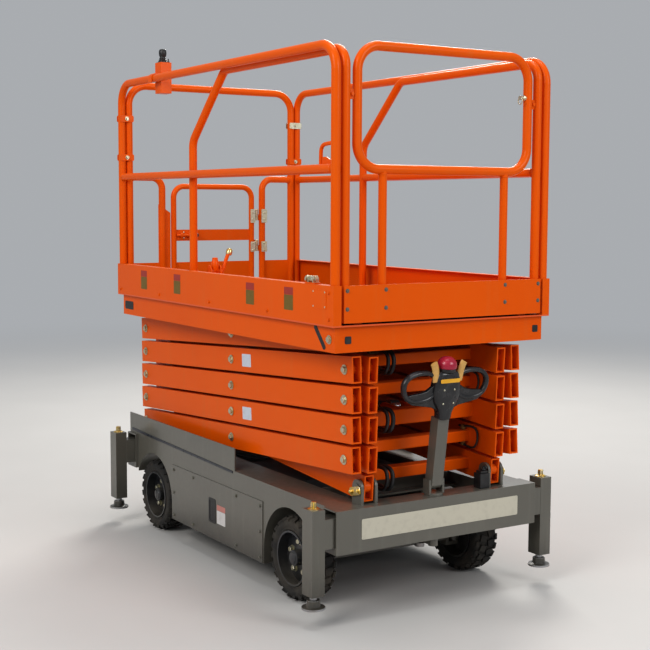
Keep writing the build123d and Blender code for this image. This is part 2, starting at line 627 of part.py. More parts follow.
# Wheels
for x, name in ((FRONT_WHEEL_X, "front"), (REAR_WHEEL_X, "rear")):
    for side, hand in SIDES:
        inner = side * (WHEEL_Y - TYRE_WIDTH / 2)
        outer = side * (WHEEL_Y + TYRE_WIDTH / 2)
        with BuildPart() as tyre:
            rod((x, inner, TYRE_RADIUS), (x, outer, TYRE_RADIUS), TYRE_RADIUS)
            fillet(tyre.edges().filter_by(GeomType.CIRCLE), TYRE_FILLET)
            rod((x, inner, TYRE_RADIUS), (x, outer, TYRE_RADIUS), RIM_RADIUS, mode=Mode.SUBTRACT)
        save(tyre.part, f"{name}_tyre_{hand}")
        with BuildPart() as rim:
            rod((x, inner, TYRE_RADIUS), (x, outer, TYRE_RADIUS), RIM_RADIUS)
            rod((x, inner, TYRE_RADIUS), (x, outer, TYRE_RADIUS), RIM_RADIUS - RIM_WALL,
                mode=Mode.SUBTRACT)
            rod((x, side * WHEEL_Y, TYRE_RADIUS), (x, side * (WHEEL_Y + DISC_SHEET), TYRE_RADIUS),
                RIM_RADIUS - RIM_WALL / 2)
            rod((x, side * (WHEEL_Y + HUB_REACH[0]), TYRE_RADIUS),
                (x, side * (WHEEL_Y + HUB_REACH[1]), TYRE_RADIUS), STUB_RADIUS + HUB_WALL)
            rod((x, side * (WHEEL_Y + HUB_REACH[0] - 1), TYRE_RADIUS),
                (x, side * (WHEEL_Y + STUB_END), TYRE_RADIUS), STUB_RADIUS + RUNNING_FIT,
                mode=Mode.SUBTRACT)
        save(rim.part, f"{name}_rim_{hand}")

# Outriggers and their jacks
beam_middle = (BEAM_BOTTOM + CHASSIS_TOP) / 2
for end, name in ENDS:
    for side, hand in SIDES:
        leg_x = end * (LEG_FRONT - LEG_DEPTH / 2)
        leg_y = side * (OUTRIGGER_Y + LEG_WIDTH / 2)
        with BuildPart() as outrigger:
            block(end * (LEG_FRONT - LEG_DEPTH), end * LEG_FRONT, side * OUTRIGGER_Y,
                  side * (OUTRIGGER_Y + LEG_WIDTH), LEG_BOTTOM, LEG_TOP)
            block(end * (BEAM_X - SLIDE_TUBE_DEPTH / 2), end * (BEAM_X + SLIDE_TUBE_DEPTH / 2),
                  side * SLIDE_TUBE_START, side * OUTRIGGER_Y,
                  beam_middle - SLIDE_TUBE_HEIGHT / 2, beam_middle + SLIDE_TUBE_HEIGHT / 2)
            rod((leg_x, leg_y, LEG_BOTTOM - 1), (leg_x, leg_y, LEG_TOP - DRIVE_RADIUS),
                SCREW_RADIUS + RUNNING_FIT, mode=Mode.SUBTRACT)
            rod((leg_x, leg_y, LEG_TOP), (leg_x, leg_y, LEG_TOP + DRIVE_WASHER),
                1.5 * DRIVE_RADIUS)
            with BuildSketch(Plane.XY.offset(LEG_TOP + DRIVE_WASHER)) as drive_head:
                with Locations((leg_x, leg_y)):
                    RegularPolygon(DRIVE_RADIUS, 6)
            extrude(drive_head.sketch, amount=DRIVE_HEIGHT)
        save(outrigger.part, f"outrigger_{name}_{hand}")
        with BuildPart() as jack:
            rod((leg_x, leg_y, FOOT_BOTTOM + FOOT_SHEET), (leg_x, leg_y, LEG_TOP - SCREW_TOP_GAP),
                SCREW_RADIUS)
            rod((leg_x, leg_y, FOOT_BOTTOM), (leg_x, leg_y, FOOT_BOTTOM + FOOT_SHEET),
                FOOT_RADIUS)
            rod((leg_x, leg_y, FOOT_BOTTOM + FOOT_SHEET),
                (leg_x, leg_y, FOOT_BOTTOM + FOOT_COLLAR_TOP), FOOT_COLLAR)
        save(jack.part, f"jack_{name}_{hand}")

# Tiller: a yoke that turns in the front beam and an arm that tilts on it
YOKE_INNER = TILLER_TUBE / 2 + 1
YOKE_OUTER = YOKE_INNER + YOKE_SHEET
with BuildPart() as yoke:
    rod((TILLER_X, 0, YOKE_BOTTOM), (TILLER_X, 0, CHASSIS_TOP + 2 * SEAT_GAP), YOKE_SHAFT)
    rod((TILLER_X, 0, CHASSIS_TOP + SEAT_GAP), (TILLER_X, 0, CHASSIS_TOP + LUG_SHEET),
        YOKE_FLANGE)
    for side in (-1, 1):
        block(TILLER_X - YOKE_HALF, TILLER_X + YOKE_HALF, side * YOKE_INNER, side * YOKE_OUTER,
              CHASSIS_TOP + LUG_SHEET / 2, TILLER_PIVOT_Z + YOKE_HALF)
    rod((TILLER_X, -YOKE_OUTER, TILLER_PIVOT_Z), (TILLER_X, YOKE_OUTER, TILLER_PIVOT_Z),
        LINK_PIN_RADIUS)
    block(CRANK_X, TILLER_X, -CRANK_HALF, CRANK_HALF, *CRANK_Z)
    rod((CRANK_X, 0, CRANK_Z[0]), (CRANK_X, 0, CRANK_Z[1]), LINK_EYE_RADIUS)
    rod((CRANK_X, 0, TIE_ROD_Z + TIE_ROD_HALF + SEAT_GAP), (CRANK_X, 0, CRANK_Z[0] + 1),
        LINK_PIN_RADIUS)
save(yoke.part, "tiller_yoke")

lean = radians(TILLER_LEAN)


def on_tiller(distance, forward=0.0):
    """Point at a distance up the tiller from its pivot and ahead of its middle."""
    return (TILLER_X + distance * sin(lean) + forward * cos(lean), 0,
            TILLER_PIVOT_Z + distance * cos(lean) - forward * sin(lean))


def tiller_face(forward):
    """Plane across the tiller, its X to the left and its Y up the tiller."""
    return Plane(origin=on_tiller(0, forward), x_dir=(0, 1, 0), z_dir=(cos(lean), 0, -sin(lean)))


with BuildPart() as tiller_arm:
    rod((TILLER_X, -TILLER_TUBE / 2, TILLER_PIVOT_Z), (TILLER_X, TILLER_TUBE / 2, TILLER_PIVOT_Z),
        YOKE_SHAFT)
    with BuildSketch(tiller_face(-TILLER_TUBE_DEPTH / 2)) as section:
        with Locations((0, TILLER_LENGTH / 2)):
            Rectangle(TILLER_TUBE, TILLER_LENGTH)
    extrude(section.sketch, amount=TILLER_TUBE_DEPTH)
    rod((TILLER_X, -YOKE_OUTER, TILLER_PIVOT_Z), (TILLER_X, YOKE_OUTER, TILLER_PIVOT_Z),
        LINK_PIN_RADIUS + RUNNING_FIT, mode=Mode.SUBTRACT)
save(tiller_arm.part, "tiller_arm")

# Head of the tiller: a moulded body between two looped grips
WING = [(0.13, 0), (0.21, 0.225), (0.80, 0.225), (1, 0.49), (1, 0.785), (0.44, 1), (0.2, 1)]
GRIP = [(0.40, 0.60), (0.84, 0.50), (0.86, 0.735), (0.40, 0.84)]
BODY = [(0.13, 0), (0.25, 0.225), (0.3, 0.6), (0.25, 1.0)]
HEAD_RISE = HEAD_TOP - TILLER_LENGTH


def across_head(outline, side=1):
    """Points of the head from shares of its half width and of its height."""
    return [(side * HEAD_HALF * y, TILLER_LENGTH + HEAD_RISE * up) for y, up in outline]


with BuildPart() as tiller_head:
    with BuildSketch(tiller_face(HEAD_FORWARD - HEAD_SHEET / 2)) as wings:
        Polygon(*across_head(WING), *reversed(across_head(WING, -1)), align=None)
        fillet([v for v in wings.vertices() if abs(v.Y) > HEAD_HALF / 2], HEAD_SHEET)
        for side in (-1, 1):
            with BuildSketch(mode=Mode.PRIVATE) as grip:
                Polygon(*across_head(GRIP, side), align=None)
                fillet(grip.vertices(), HEAD_SHEET / 2)
            add(grip.sketch, mode=Mode.SUBTRACT)
    extrude(wings.sketch, amount=HEAD_SHEET)
    with BuildSketch(tiller_face(HEAD_FORWARD - HEAD_BODY_DEPTH / 2)) as body:
        Polygon(*across_head(BODY), *reversed(across_head(BODY, -1)), align=None)
    extrude(body.sketch, amount=HEAD_BODY_DEPTH)
save(tiller_head.part, "tiller_head")

with BuildPart() as tiller_button:
    cap_foot, cap_top = HEAD_TOP + 0.35 * BUTTON_HEIGHT, HEAD_TOP + 0.65 * BUTTON_HEIGHT
    rod(on_tiller(HEAD_TOP, HEAD_FORWARD), on_tiller(cap_foot + 1, HEAD_FORWARD),
        0.7 * BUTTON_RADIUS)
    rod(on_tiller(cap_foot, HEAD_FORWARD), on_tiller(cap_top, HEAD_FORWARD), BUTTON_RADIUS)
    crown = Plane(origin=on_tiller(cap_top, HEAD_FORWARD), z_dir=(sin(lean), 0, cos(lean)))
    with BuildSketch(crown) as section:
        Circle(BUTTON_RADIUS)
    extrude(section.sketch, amount=HEAD_TOP + BUTTON_HEIGHT - cap_top, taper=40)
save(tiller_button.part, "tiller_button")

# Platform frame under the deck
with BuildPart() as platform_frame:
    block(-SKIRT_X, SKIRT_X, -SKIRT_Y, SKIRT_Y, SKIRT_BOTTOM, DECK_UNDER)
    block(SKIRT_SHEET - SKIRT_X, SKIRT_X - SKIRT_SHEET, SKIRT_SHEET - SKIRT_Y,
          SKIRT_Y - SKIRT_SHEET, SKIRT_BOTTOM - 1, DECK_UNDER + 1, mode=Mode.SUBTRACT)
    for x in CROSS_MEMBER_X:
        block(x - CROSS_MEMBER_WIDTH / 2, x + CROSS_MEMBER_WIDTH / 2, SKIRT_SHEET / 2 - SKIRT_Y,
              SKIRT_Y - SKIRT_SHEET / 2, DECK_UNDER - CROSS_MEMBER_DEPTH, DECK_UNDER)
    for side in (-1, 1):
        block(-SKIRT_X + 2, TRACK_END, side * (ROLLER_Y - ROLLER_WIDTH / 2 - 2),
              side * (ROLLER_Y + ROLLER_WIDTH / 2 + 2),
              TOP_PIN_Z + ROLLER_RADIUS + SEAT_GAP, DECK_UNDER)
        for y in (OUTER_ARM_Y + ARM_WIDTH / 2 + ARM_WALL, SKIRT_Y - SKIRT_LUG_GAP - LUG_SHEET):
            block(FRONT_PIN_X - LUG_RADIUS - ARM_WALL, SKIRT_X - 2, side * y,
                  side * (y + LUG_SHEET), SKIRT_BOTTOM + 4, DECK_UNDER)
    reach = SKIRT_Y - SKIRT_LUG_GAP + ARM_WALL
    rod((FRONT_PIN_X, -reach, TOP_PIN_Z), (FRONT_PIN_X, reach, TOP_PIN_Z),
        PIN_RADIUS + RUNNING_FIT, mode=Mode.SUBTRACT)
save(platform_frame.part, "platform_frame")

with BuildPart() as deck:
    block(-DECK_HALF_X, DECK_HALF_X, -DECK_HALF_Y, DECK_HALF_Y, DECK_UNDER, DECK_TOP)
save(deck.part, "deck")

# Toe boards and guardrails along the sides
for side, hand in SIDES:
    with BuildPart() as toe_board:
        outer = side * DECK_HALF_Y
        block(-DECK_HALF_X, DECK_HALF_X, outer - side * TOE_SHEET, outer, DECK_TOP,
              DECK_TOP + TOE_HEIGHT)
        clear = RAIL_X - RAIL_RADIUS - 2
        block(-clear, clear, outer - side * RAIL_TUBE, outer,
              DECK_TOP + TOE_HEIGHT - TOE_SHEET, DECK_TOP + TOE_HEIGHT)
        for x in (-DECK_HALF_X, DECK_HALF_X - TOE_SHEET):
            block(x, x + TOE_SHEET, outer - side * RAIL_TUBE, outer, DECK_TOP,
                  DECK_TOP + TOE_HEIGHT)
    save(toe_board.part, f"toe_board_{hand}")

    with BuildPart() as guardrail:
        bent_tube([(-RAIL_X, side * RAIL_Y, DECK_TOP), (-RAIL_X, side * RAIL_Y, RAIL_Z),
                   (RAIL_X, side * RAIL_Y, RAIL_Z), (RAIL_X, side * RAIL_Y, DECK_TOP)],
                  RAIL_RADIUS, RAIL_BEND)
        rod((-RAIL_X, side * RAIL_Y, MID_Z), (RAIL_X, side * RAIL_Y, MID_Z), MID_RAIL_RADIUS)
    save(guardrail.part, f"guardrail_{hand}")

# Rear rail: one tall hoop, the low hoops beside the gate, the hinges and the latch plate
REAR_POST_Y = RAIL_Y - RAIL_TUBE - 1
GATE_POST_Y = GATE_HALF + GATE_POST_GAP
HINGE_Y = GATE_HALF + HINGE_OFFSET
with BuildPart() as rear_rail:
    bent_tube([(-RAIL_X, -REAR_POST_Y, DECK_TOP), (-RAIL_X, -REAR_POST_Y, RAIL_Z),
               (-RAIL_X, REAR_POST_Y, RAIL_Z), (-RAIL_X, REAR_POST_Y, DECK_TOP)],
              RAIL_RADIUS, RAIL_BEND)
    for side in (-1, 1):
        bent_tube([(-RAIL_X, side * REAR_POST_Y, MID_Z), (-RAIL_X, side * GATE_POST_Y, MID_Z),
                   (-RAIL_X, side * GATE_POST_Y, DECK_TOP)], GATE_POST_RADIUS, GATE_BEND)
        block(-RAIL_X - STRAP_HALF, -RAIL_X + STRAP_HALF, side * GATE_POST_Y,
              side * REAR_POST_Y, DECK_TOP, DECK_TOP + TOE_HEIGHT)
    for height in HINGE_HEIGHTS:
        z = DECK_TOP + height
        rod((-RAIL_X, HINGE_Y, z - HINGE_HALF), (-RAIL_X, HINGE_Y, z + HINGE_HALF), HINGE_RADIUS)
        block(-RAIL_X - STRAP_HALF, -RAIL_X + STRAP_HALF, HINGE_Y, GATE_POST_Y, z - HINGE_HALF,
              z + HINGE_HALF)
    near, far = [-GATE_HALF - reach for reach in LATCH_PLATE_REACH]
    low, side_top, top = [DECK_TOP + height for height in LATCH_PLATE_HEIGHTS]
    with BuildSketch(Plane.YZ.offset(-RAIL_X - STRAP_HALF)) as latch_plate:
        Polygon((near, low), (near, side_top), (far, top), (far, low), align=None)
    extrude(latch_plate.sketch, amount=2 * STRAP_HALF)
save(rear_rail.part, "rear_rail")

# Gate between the rear hoops, hinged on the left
with BuildPart() as gate:
    post_y = GATE_HALF - GATE_TUBE
    top = DECK_TOP + GATE_HEIGHT - GATE_TUBE
    foot = DECK_TOP + GATE_FOOT_GAP
    bent_tube([(-RAIL_X, -post_y, foot), (-RAIL_X, -post_y, top), (-RAIL_X, post_y, top),
               (-RAIL_X, post_y, foot)], GATE_TUBE, GATE_BEND)
    for low, high in ((GATE_BAR_HEIGHT, GATE_BAR_HEIGHT + GATE_BAR), (GATE_FOOT_GAP / 2, TOE_HEIGHT)):
        block(-RAIL_X - TOE_SHEET, -RAIL_X + TOE_SHEET, -post_y, post_y, DECK_TOP + low,
              DECK_TOP + high)
    for height in HINGE_HEIGHTS:
        z = DECK_TOP + height + HINGE_HALF + SEAT_GAP
        rod((-RAIL_X, HINGE_Y, z), (-RAIL_X, HINGE_Y, z + HINGE_LEAF - HINGE_HALF), HINGE_RADIUS)
        block(-RAIL_X - STRAP_HALF, -RAIL_X + STRAP_HALF, post_y, HINGE_Y, z,
              z + HINGE_LEAF - HINGE_HALF)
save(gate.part, "gate")

# Extension deck with its front panel and rails
with BuildPart() as extension_deck:
    block(EXT_REAR_X, EXT_POST_X + RAIL_RADIUS, -EXT_PANEL_HALF, EXT_PANEL_HALF, EXT_FLOOR_Z,
          EXT_FLOOR_Z + EXT_FLOOR_SHEET)
    for side in (-1, 1):
        runner_y = EXT_RAIL_Y - RUNNER_INSET
        block(EXT_REAR_X, EXT_POST_X, side * (runner_y - RUNNER_WIDTH), side * runner_y,
              DECK_TOP + SEAT_GAP, EXT_FLOOR_Z)
    block(EXT_POST_X + RAIL_RADIUS, DECK_HALF_X, -EXT_PANEL_HALF, EXT_PANEL_HALF, EXT_FLOOR_Z,
          DECK_TOP + TOE_HEIGHT)
save(extension_deck.part, "extension_deck")

foot_z = EXT_FLOOR_Z + EXT_FLOOR_SHEET
for side, hand in SIDES:
    with BuildPart() as extension_rail:
        y = side * EXT_RAIL_Y
        bent_tube([(EXT_REAR_X + RAIL_RADIUS, y, foot_z),
                   (EXT_REAR_X + RAIL_RADIUS, y, EXT_TOP_Z - EXT_SLOPE_DROP),
                   (EXT_REAR_X + EXT_SLOPE_RUN, y, EXT_TOP_Z),
                   (EXT_POST_X, y, EXT_TOP_Z), (EXT_POST_X, y, foot_z)], RAIL_RADIUS, EXT_BEND)
        rod((EXT_REAR_X + RAIL_RADIUS, y, MID_Z), (EXT_POST_X, y, MID_Z), MID_RAIL_RADIUS)
    save(extension_rail.part, f"extension_rail_{hand}")

with BuildPart() as front_loop:
    bent_tube([(EXT_POST_X, LOOP_HALF, MID_Z), (EXT_POST_X, LOOP_HALF, RAIL_Z),
               (EXT_POST_X, -LOOP_HALF, RAIL_Z), (EXT_POST_X, -LOOP_HALF, MID_Z)],
              RAIL_RADIUS, RAIL_BEND, close=True)
    for side in (-1, 1):
        rod((EXT_POST_X, side * LOWER_POST_Y, foot_z), (EXT_POST_X, side * LOWER_POST_Y, MID_Z),
            LOWER_POST_RADIUS)
        block(EXT_POST_X - STRAP_HALF, EXT_POST_X + STRAP_HALF, side * LOOP_HALF,
              side * (EXT_RAIL_Y - RAIL_RADIUS), RAIL_Z - EAR_DROP - EAR_HALF,
              RAIL_Z - EAR_DROP + EAR_HALF)
save(front_loop.part, "front_loop")

# Platform control box on the right top rail
with BuildPart() as control_box:
    inside = RAIL_RADIUS - RAIL_Y
    block(CONTROL_X - CONTROL_WIDTH / 2, CONTROL_X + CONTROL_WIDTH / 2, inside,
          inside + CONTROL_DEPTH, RAIL_Z - CONTROL_UNDER, RAIL_Z + CONTROL_OVER)
    stick_y = inside + CONTROL_DEPTH / 2
    rod((CONTROL_X, stick_y, RAIL_Z + CONTROL_OVER),
        (CONTROL_X, stick_y, RAIL_Z + CONTROL_OVER + STICK_LENGTH), STICK_RADIUS)
save(control_box.part, "control_box")
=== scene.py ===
"""A mobile scissor lift with outriggers and a towing tiller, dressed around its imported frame.

Pieces are drawn in millimetres and brought to metres as they are finished. +X is the front,
where the tiller stands, +Z is up, and the right-hand side is -Y.
"""
from math import cos, pi, radians, sin

import bmesh
import bpy
from mathutils import Matrix, Quaternion, Vector


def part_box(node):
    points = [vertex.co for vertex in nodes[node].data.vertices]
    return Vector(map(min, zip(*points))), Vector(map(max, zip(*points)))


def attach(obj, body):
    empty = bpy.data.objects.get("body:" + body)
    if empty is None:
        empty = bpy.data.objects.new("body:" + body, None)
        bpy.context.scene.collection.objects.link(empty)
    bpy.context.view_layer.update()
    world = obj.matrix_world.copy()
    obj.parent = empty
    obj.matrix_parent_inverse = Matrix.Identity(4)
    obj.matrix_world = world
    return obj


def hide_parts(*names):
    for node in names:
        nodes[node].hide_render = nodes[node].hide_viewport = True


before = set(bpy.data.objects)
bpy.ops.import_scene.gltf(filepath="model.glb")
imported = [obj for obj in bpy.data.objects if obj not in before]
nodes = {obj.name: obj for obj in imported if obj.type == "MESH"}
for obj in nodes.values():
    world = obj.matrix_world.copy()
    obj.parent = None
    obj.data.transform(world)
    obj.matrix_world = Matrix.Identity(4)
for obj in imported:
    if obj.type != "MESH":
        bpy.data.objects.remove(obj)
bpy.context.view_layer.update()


# Chassis. Two folded side boxes, a floor and the axle bridges, welded from sheet steel and
# sprayed graphite grey. Dust lies on what faces up and road dirt on what hangs low, low parts
# are darkened with painted shade, and the edges are rubbed to a lighter grey.


class Wire:
    """A socket of a node tree, on which sums are written as Python expressions."""

    def __init__(self, tree, socket=None):
        self.tree = tree
        self.socket = socket

    def node(self, kind, settings, sockets, out=0):
        """Any other node: its settings first, then the values or links of its sockets.

        A list brings several links to one socket.
        """
        made = self.tree.nodes.new(kind)
        for name, value in settings.items():
            setattr(made, name, value)
        for name, value in sockets.items():
            for item in value if isinstance(value, list) else [value]:
                if isinstance(item, Wire):
                    self.tree.links.new(item.socket, made.inputs[name])
                else:
                    made.inputs[name].default_value = item
        return Wire(self.tree, made.outputs[out] if len(made.outputs) else None)

    def sum(self, operation, first, second, clamp=False):
        """One Math node."""
        return self.node("ShaderNodeMath", {"operation": operation, "use_clamp": clamp},
                         {0: first, 1: second})

    def __add__(self, other):
        return self.sum("ADD", self, other)

    def __radd__(self, other):
        return self.sum("ADD", other, self)

    def __sub__(self, other):
        return self.sum("SUBTRACT", self, other)

    def __rsub__(self, other):
        return self.sum("SUBTRACT", other, self)

    def __mul__(self, other):
        return self.sum("MULTIPLY", self, other)

    def __rmul__(self, other):
        return self.sum("MULTIPLY", other, self)

    def __truediv__(self, other):
        return self.sum("DIVIDE", self, other)

    def __pow__(self, other):
        return self.sum("POWER", self, other)

    def held(self):
        """The value held between 0 and 1."""
        return self.sum("ADD", self, 0.0, clamp=True)

    def past(self, start, slope):
        """How far the value has risen past a start, held between 0 and 1."""
        return ((self - start) * slope).held()

    def noise(self, scale, detail):
        """Cloudy noise at this place, about 0.5 on average."""
        return self.node("ShaderNodeTexNoise", {},
                         {"Vector": self, "Scale": scale, "Detail": detail, "Roughness": 0.5},
                         "Fac")

    def mixed(self, first, second):
        """A colour between two, this value being the share of the second."""
        return self.node("ShaderNodeMix", {"data_type": "RGBA"},
                         {0: self, 6: first, 7: second}, 2)

    def axis(self, letter):
        """One coordinate of a vector."""
        return self.node("ShaderNodeSeparateXYZ", {}, {"Vector": self}, letter)

    def stretched(self, factors):
        """A vector with each of its parts scaled by a factor of its own."""
        return self.node("ShaderNodeVectorMath", {"operation": "MULTIPLY"}, {0: self, 1: factors})

    def bump(self, strength, distance):
        """The normal of a surface that this value lifts."""
        return self.node("ShaderNodeBump", {}, {"Strength": strength, "Distance": distance,
                                                "Height": self})


def begin_finish(name):
    """A new material, its shader and the place on the piece that its patterns read."""
    material = bpy.data.materials.new(name)
    material.use_nodes = True
    tree = material.node_tree
    shader = tree.nodes["Principled BSDF"]
    place = Wire(tree).node("ShaderNodeTexCoord", {}, {}, "Object")
    return material, shader, place


def end_finish(shader, place, links):
    """Join worked-out values to the shader's sockets."""
    for name, value in links.items():
        place.tree.links.new(value.socket, shader.inputs[name])


ROAD_DUST = (0.30, 0.265, 0.215, 1.0)
WORN_EDGE = 0.0022
WET_LOOK = 0.16


def sprayed_paint(name, colour, faded, undercoat, gloss, dust, dirt_and_shade_height, glaze=0.4,
                  mirror=0.5, border=None):
    """Sprayed paint with orange peel, rubbed edges, dust on top, road dirt and painted shade low
    down.

    A border is a second colour beyond half a width in X and in Y.
    """
    material, shader, place = begin_finish(name)
    shader.inputs["Coat Roughness"].default_value = WET_LOOK
    shader.inputs["Specular IOR Level"].default_value = mirror
    normal = place.node("ShaderNodeNewGeometry", {}, {}, "Normal")
    rounded = place.node("ShaderNodeBevel", {"samples": 4}, {"Radius": WORN_EDGE})
    alike = place.node("ShaderNodeVectorMath", {"operation": "DOT_PRODUCT"},
                       {0: normal, 1: rounded}, "Value")
    grain = place.noise(48.0, 4.0)
    drift = place.noise(1.7, 3.0)
    streaks = place.stretched((26.0, 26.0, 2.4)).noise(1.0, 3.0)
    rubbed = ((1 - alike) * 9.0 * grain - 0.78).held()
    above = normal.axis("Z").held()
    settled = (above ** 3 * place.noise(9.0, 4.0) * 1.5 * dust).held()
    # How low a point is: this sets both the road dirt and the painted shade near the ground.
    low = ((dirt_and_shade_height - place.axis("Z")) / dirt_and_shade_height).held()
    splashed = (low * (place.noise(14.0, 5.0) * 2.2 - 0.62)).held() * 0.26
    # Painted shade: towards the bottom the paint is darkened to a quarter of its colour, standing
    # in for the shade that falls low on the body.
    painted_low_shade = tuple(0.24 * shade for shade in colour[:3]) + (1,)
    painted = drift.past(0.3, 1.6).mixed(colour, faded)
    painted = (low * low * 2.0).held().mixed(painted, painted_low_shade)
    washed = streaks.past(0.55, 0.7).mixed(painted, undercoat)
    dusty = (settled + splashed).held().mixed(washed, ROAD_DUST)
    finished = (rubbed * 0.75).mixed(dusty, undercoat)
    if border:
        half_x, half_y, border_colour = border
        across_x, across_y = place.axis("X"), place.axis("Y")
        beyond = ((across_x * across_x).past(half_x ** 2, 900.0)
                  + (across_y * across_y).past(half_y ** 2, 900.0)).held()
        finished = beyond.mixed(finished, border_colour)
    peel = place.noise(420.0, 1.0) + grain * 0.5
    rough = gloss + (grain - 0.5) * 0.16 + settled * 0.5 + splashed * 0.7 + rubbed * 0.2
    end_finish(shader, place, {"Base Color": finished, "Roughness": rough.held(),
                               "Coat Weight": (glaze - settled - splashed * 0.9).held(),
                               "Normal": peel.bump(0.12, 0.0004)})
    return material


def coat_nodes(material, *names):
    """Give carried-over nodes their finish."""
    for name in names:
        for slot in nodes[name].material_slots:
            slot.material = material


graphite = sprayed_paint("graphite paint", (0.105, 0.100, 0.084, 1), (0.132, 0.125, 0.104, 1),
                         (0.21, 0.205, 0.18, 1), gloss=0.34, dust=0.05, dirt_and_shade_height=0.31)
coat_nodes(graphite, "side_box_right", "side_box_left", "base_floor", "front_axle", "rear_axle",
           "front_beam", "rear_beam")


# Screws of the side panels. Zinc-plated hexagon heads on washers hold the removable panels
# to the side boxes, in two rows with one more screw at each end.

MM = 0.001
SIDES = ((-1, "right"), (1, "left"))


def size_inputs(tree, sizes):
    """Named inputs of a repeat's tree, and the wires that bring them in."""
    sockets = tree.interface
    sockets.new_socket("Points", in_out="INPUT", socket_type="NodeSocketGeometry")
    for label, value in sizes.items():
        made = sockets.new_socket(label, in_out="INPUT", socket_type="NodeSocketFloat")
        made.default_value = value
    sockets.new_socket("Finish", in_out="INPUT", socket_type="NodeSocketMaterial")
    sockets.new_socket("Repeats", in_out="OUTPUT", socket_type="NodeSocketGeometry")
    return {label: Wire(tree).node("NodeGroupInput", {}, {}, label)
            for label in ("Points", *sizes, "Finish")}


def repeat_on_points(inputs, one):
    """Stand one piece on every point, turned as the point says, and close the tree."""
    turn = one.node("GeometryNodeInputNamedAttribute", {"data_type": "FLOAT_VECTOR"},
                    {"Name": "turn"}, "Attribute")
    facing = one.node("FunctionNodeEulerToRotation", {}, {0: turn})
    stood = one.node("GeometryNodeInstanceOnPoints", {},
                     {"Points": inputs["Points"], "Instance": one, "Rotation": facing})
    real = one.node("GeometryNodeRealizeInstances", {}, {"Geometry": stood})
    finished = one.node("GeometryNodeSetMaterial", {},
                        {"Geometry": real, "Material": inputs["Finish"]})
    one.node("NodeGroupOutput", {}, {"Repeats": finished})


def joined(first, *others):
    """Several geometries as one."""
    return first.node("GeometryNodeJoinGeometry", {}, {"Geometry": [first, *others]})


def raised(solid, height):
    """A geometry moved up its own axis."""
    up = solid.node("ShaderNodeCombineXYZ", {}, {"Z": height})
    return solid.node("GeometryNodeTransform", {}, {"Geometry": solid, "Translation": up})


def put_in_scene(name, data):
    """A new object at the origin of the scene."""
    made = bpy.data.objects.new(name, data)
    bpy.context.scene.collection.objects.link(made)
    return made


def set_out(name, tree, sizes, spots, body, material):
    """Run a repeat's tree on points, keep the plain mesh and let it ride on a body.

    A spot is its place in millimetres, the way that it faces and its turn about that way.
    """
    mesh = bpy.data.meshes.new(name)
    mesh.from_pydata([place for place, _, _ in spots], [], [])
    turns = mesh.attributes.new("turn", "FLOAT_VECTOR", "POINT")
    for item, (_, facing, spin) in zip(turns.data, spots):
        turn = Vector(facing).to_track_quat("Z", "Y") @ Quaternion((0, 0, 1), spin)
        item.vector = turn.to_euler()
    piece = put_in_scene(name, mesh)
    modifier = piece.modifiers.new("repeat", "NODES")
    modifier.node_group = tree
    for item in tree.interface.items_tree:
        if item.in_out == "INPUT" and item.name in sizes:
            modifier[item.identifier] = float(sizes[item.name])
        elif item.in_out == "INPUT" and item.name == "Finish":
            modifier[item.identifier] = material
    bpy.context.view_layer.update()
    evaluated = piece.evaluated_get(bpy.context.evaluated_depsgraph_get())
    plain = bpy.data.meshes.new_from_object(evaluated)
    piece.modifiers.remove(modifier)
    plain.transform(Matrix.Scale(MM, 4))
    piece.data = plain
    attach(piece, body)


def zinc_plate(name, tint, roughness):
    """Zinc plating, faintly yellow and blue in patches, scuffed where tools have gripped."""
    material, shader, place = begin_finish(name)
    shader.inputs["Metallic"].default_value = 0.92
    patch = place.noise(60.0, 3.0).past(0.35, 2.4)
    scuffs = place.noise(900.0, 2.0)
    pale = tuple(0.45 * shade + 0.55 * max(tint[:3]) for shade in tint[:3]) + (1,)
    end_finish(shader, place, {"Base Color": patch.mixed(tint, pale),
                               "Roughness": roughness + (scuffs - 0.5) * 0.3,
                               "Normal": scuffs.bump(0.2, 0.0002)})
    return material


hex_bolts = bpy.data.node_groups.new("hexagon bolts", "GeometryNodeTree")
sizes_in = size_inputs(hex_bolts, {"Corner": 9.0, "Height": 6.0, "Washer": 13.0,
                                   "Washer Height": 2.0})
corner, head = sizes_in["Corner"], sizes_in["Height"]
washer_height = sizes_in["Washer Height"]
washer = raised(corner.node("GeometryNodeMeshCylinder", {"fill_type": "NGON"},
                            {"Vertices": 20, "Radius": sizes_in["Washer"],
                             "Depth": washer_height}), washer_height * 0.5)
shank = raised(corner.node("GeometryNodeMeshCylinder", {"fill_type": "NGON"},
                           {"Vertices": 6, "Radius": corner, "Depth": head}),
               washer_height + head * 0.5)
crown = raised(corner.node("GeometryNodeMeshCone", {"fill_type": "NGON"},
                           {"Vertices": 6, "Radius Top": corner * 0.8,
                            "Radius Bottom": corner, "Depth": head * 0.16}),
               washer_height + head)
repeat_on_points(sizes_in, joined(washer, shank, crown))


def bolt(corner, height, washer, washer_height):
    """Sizes of a hexagon bolt and of its washer."""
    return {"Corner": corner, "Height": height, "Washer": washer, "Washer Height": washer_height}


dull_zinc = zinc_plate("dull zinc", (0.26, 0.25, 0.21, 1), roughness=0.5)
PANEL_Y = 504.0
SCREW_X, SCREW_Z, END_SCREW_Z = (-488, -270, 170, 392), (128, 357), 243
for side, hand in SIDES:
    rows = [(x, z) for z in SCREW_Z for x in SCREW_X]
    rows += [(x, END_SCREW_Z) for x in (SCREW_X[0], SCREW_X[-1])]
    spots = [((x, side * PANEL_Y, z), (0, side, 0), 0.31 * x) for x, z in rows]
    set_out(f"panel_screws_{hand}", hex_bolts, bolt(6.2, 3.6, 9.0, 1.4), spots, "chassis",
            dull_zinc)


# Recessed pulls of the side panels. A black moulded pan is set in each slot, with a finger
# bar across it, and a small blank label is stuck beside it.


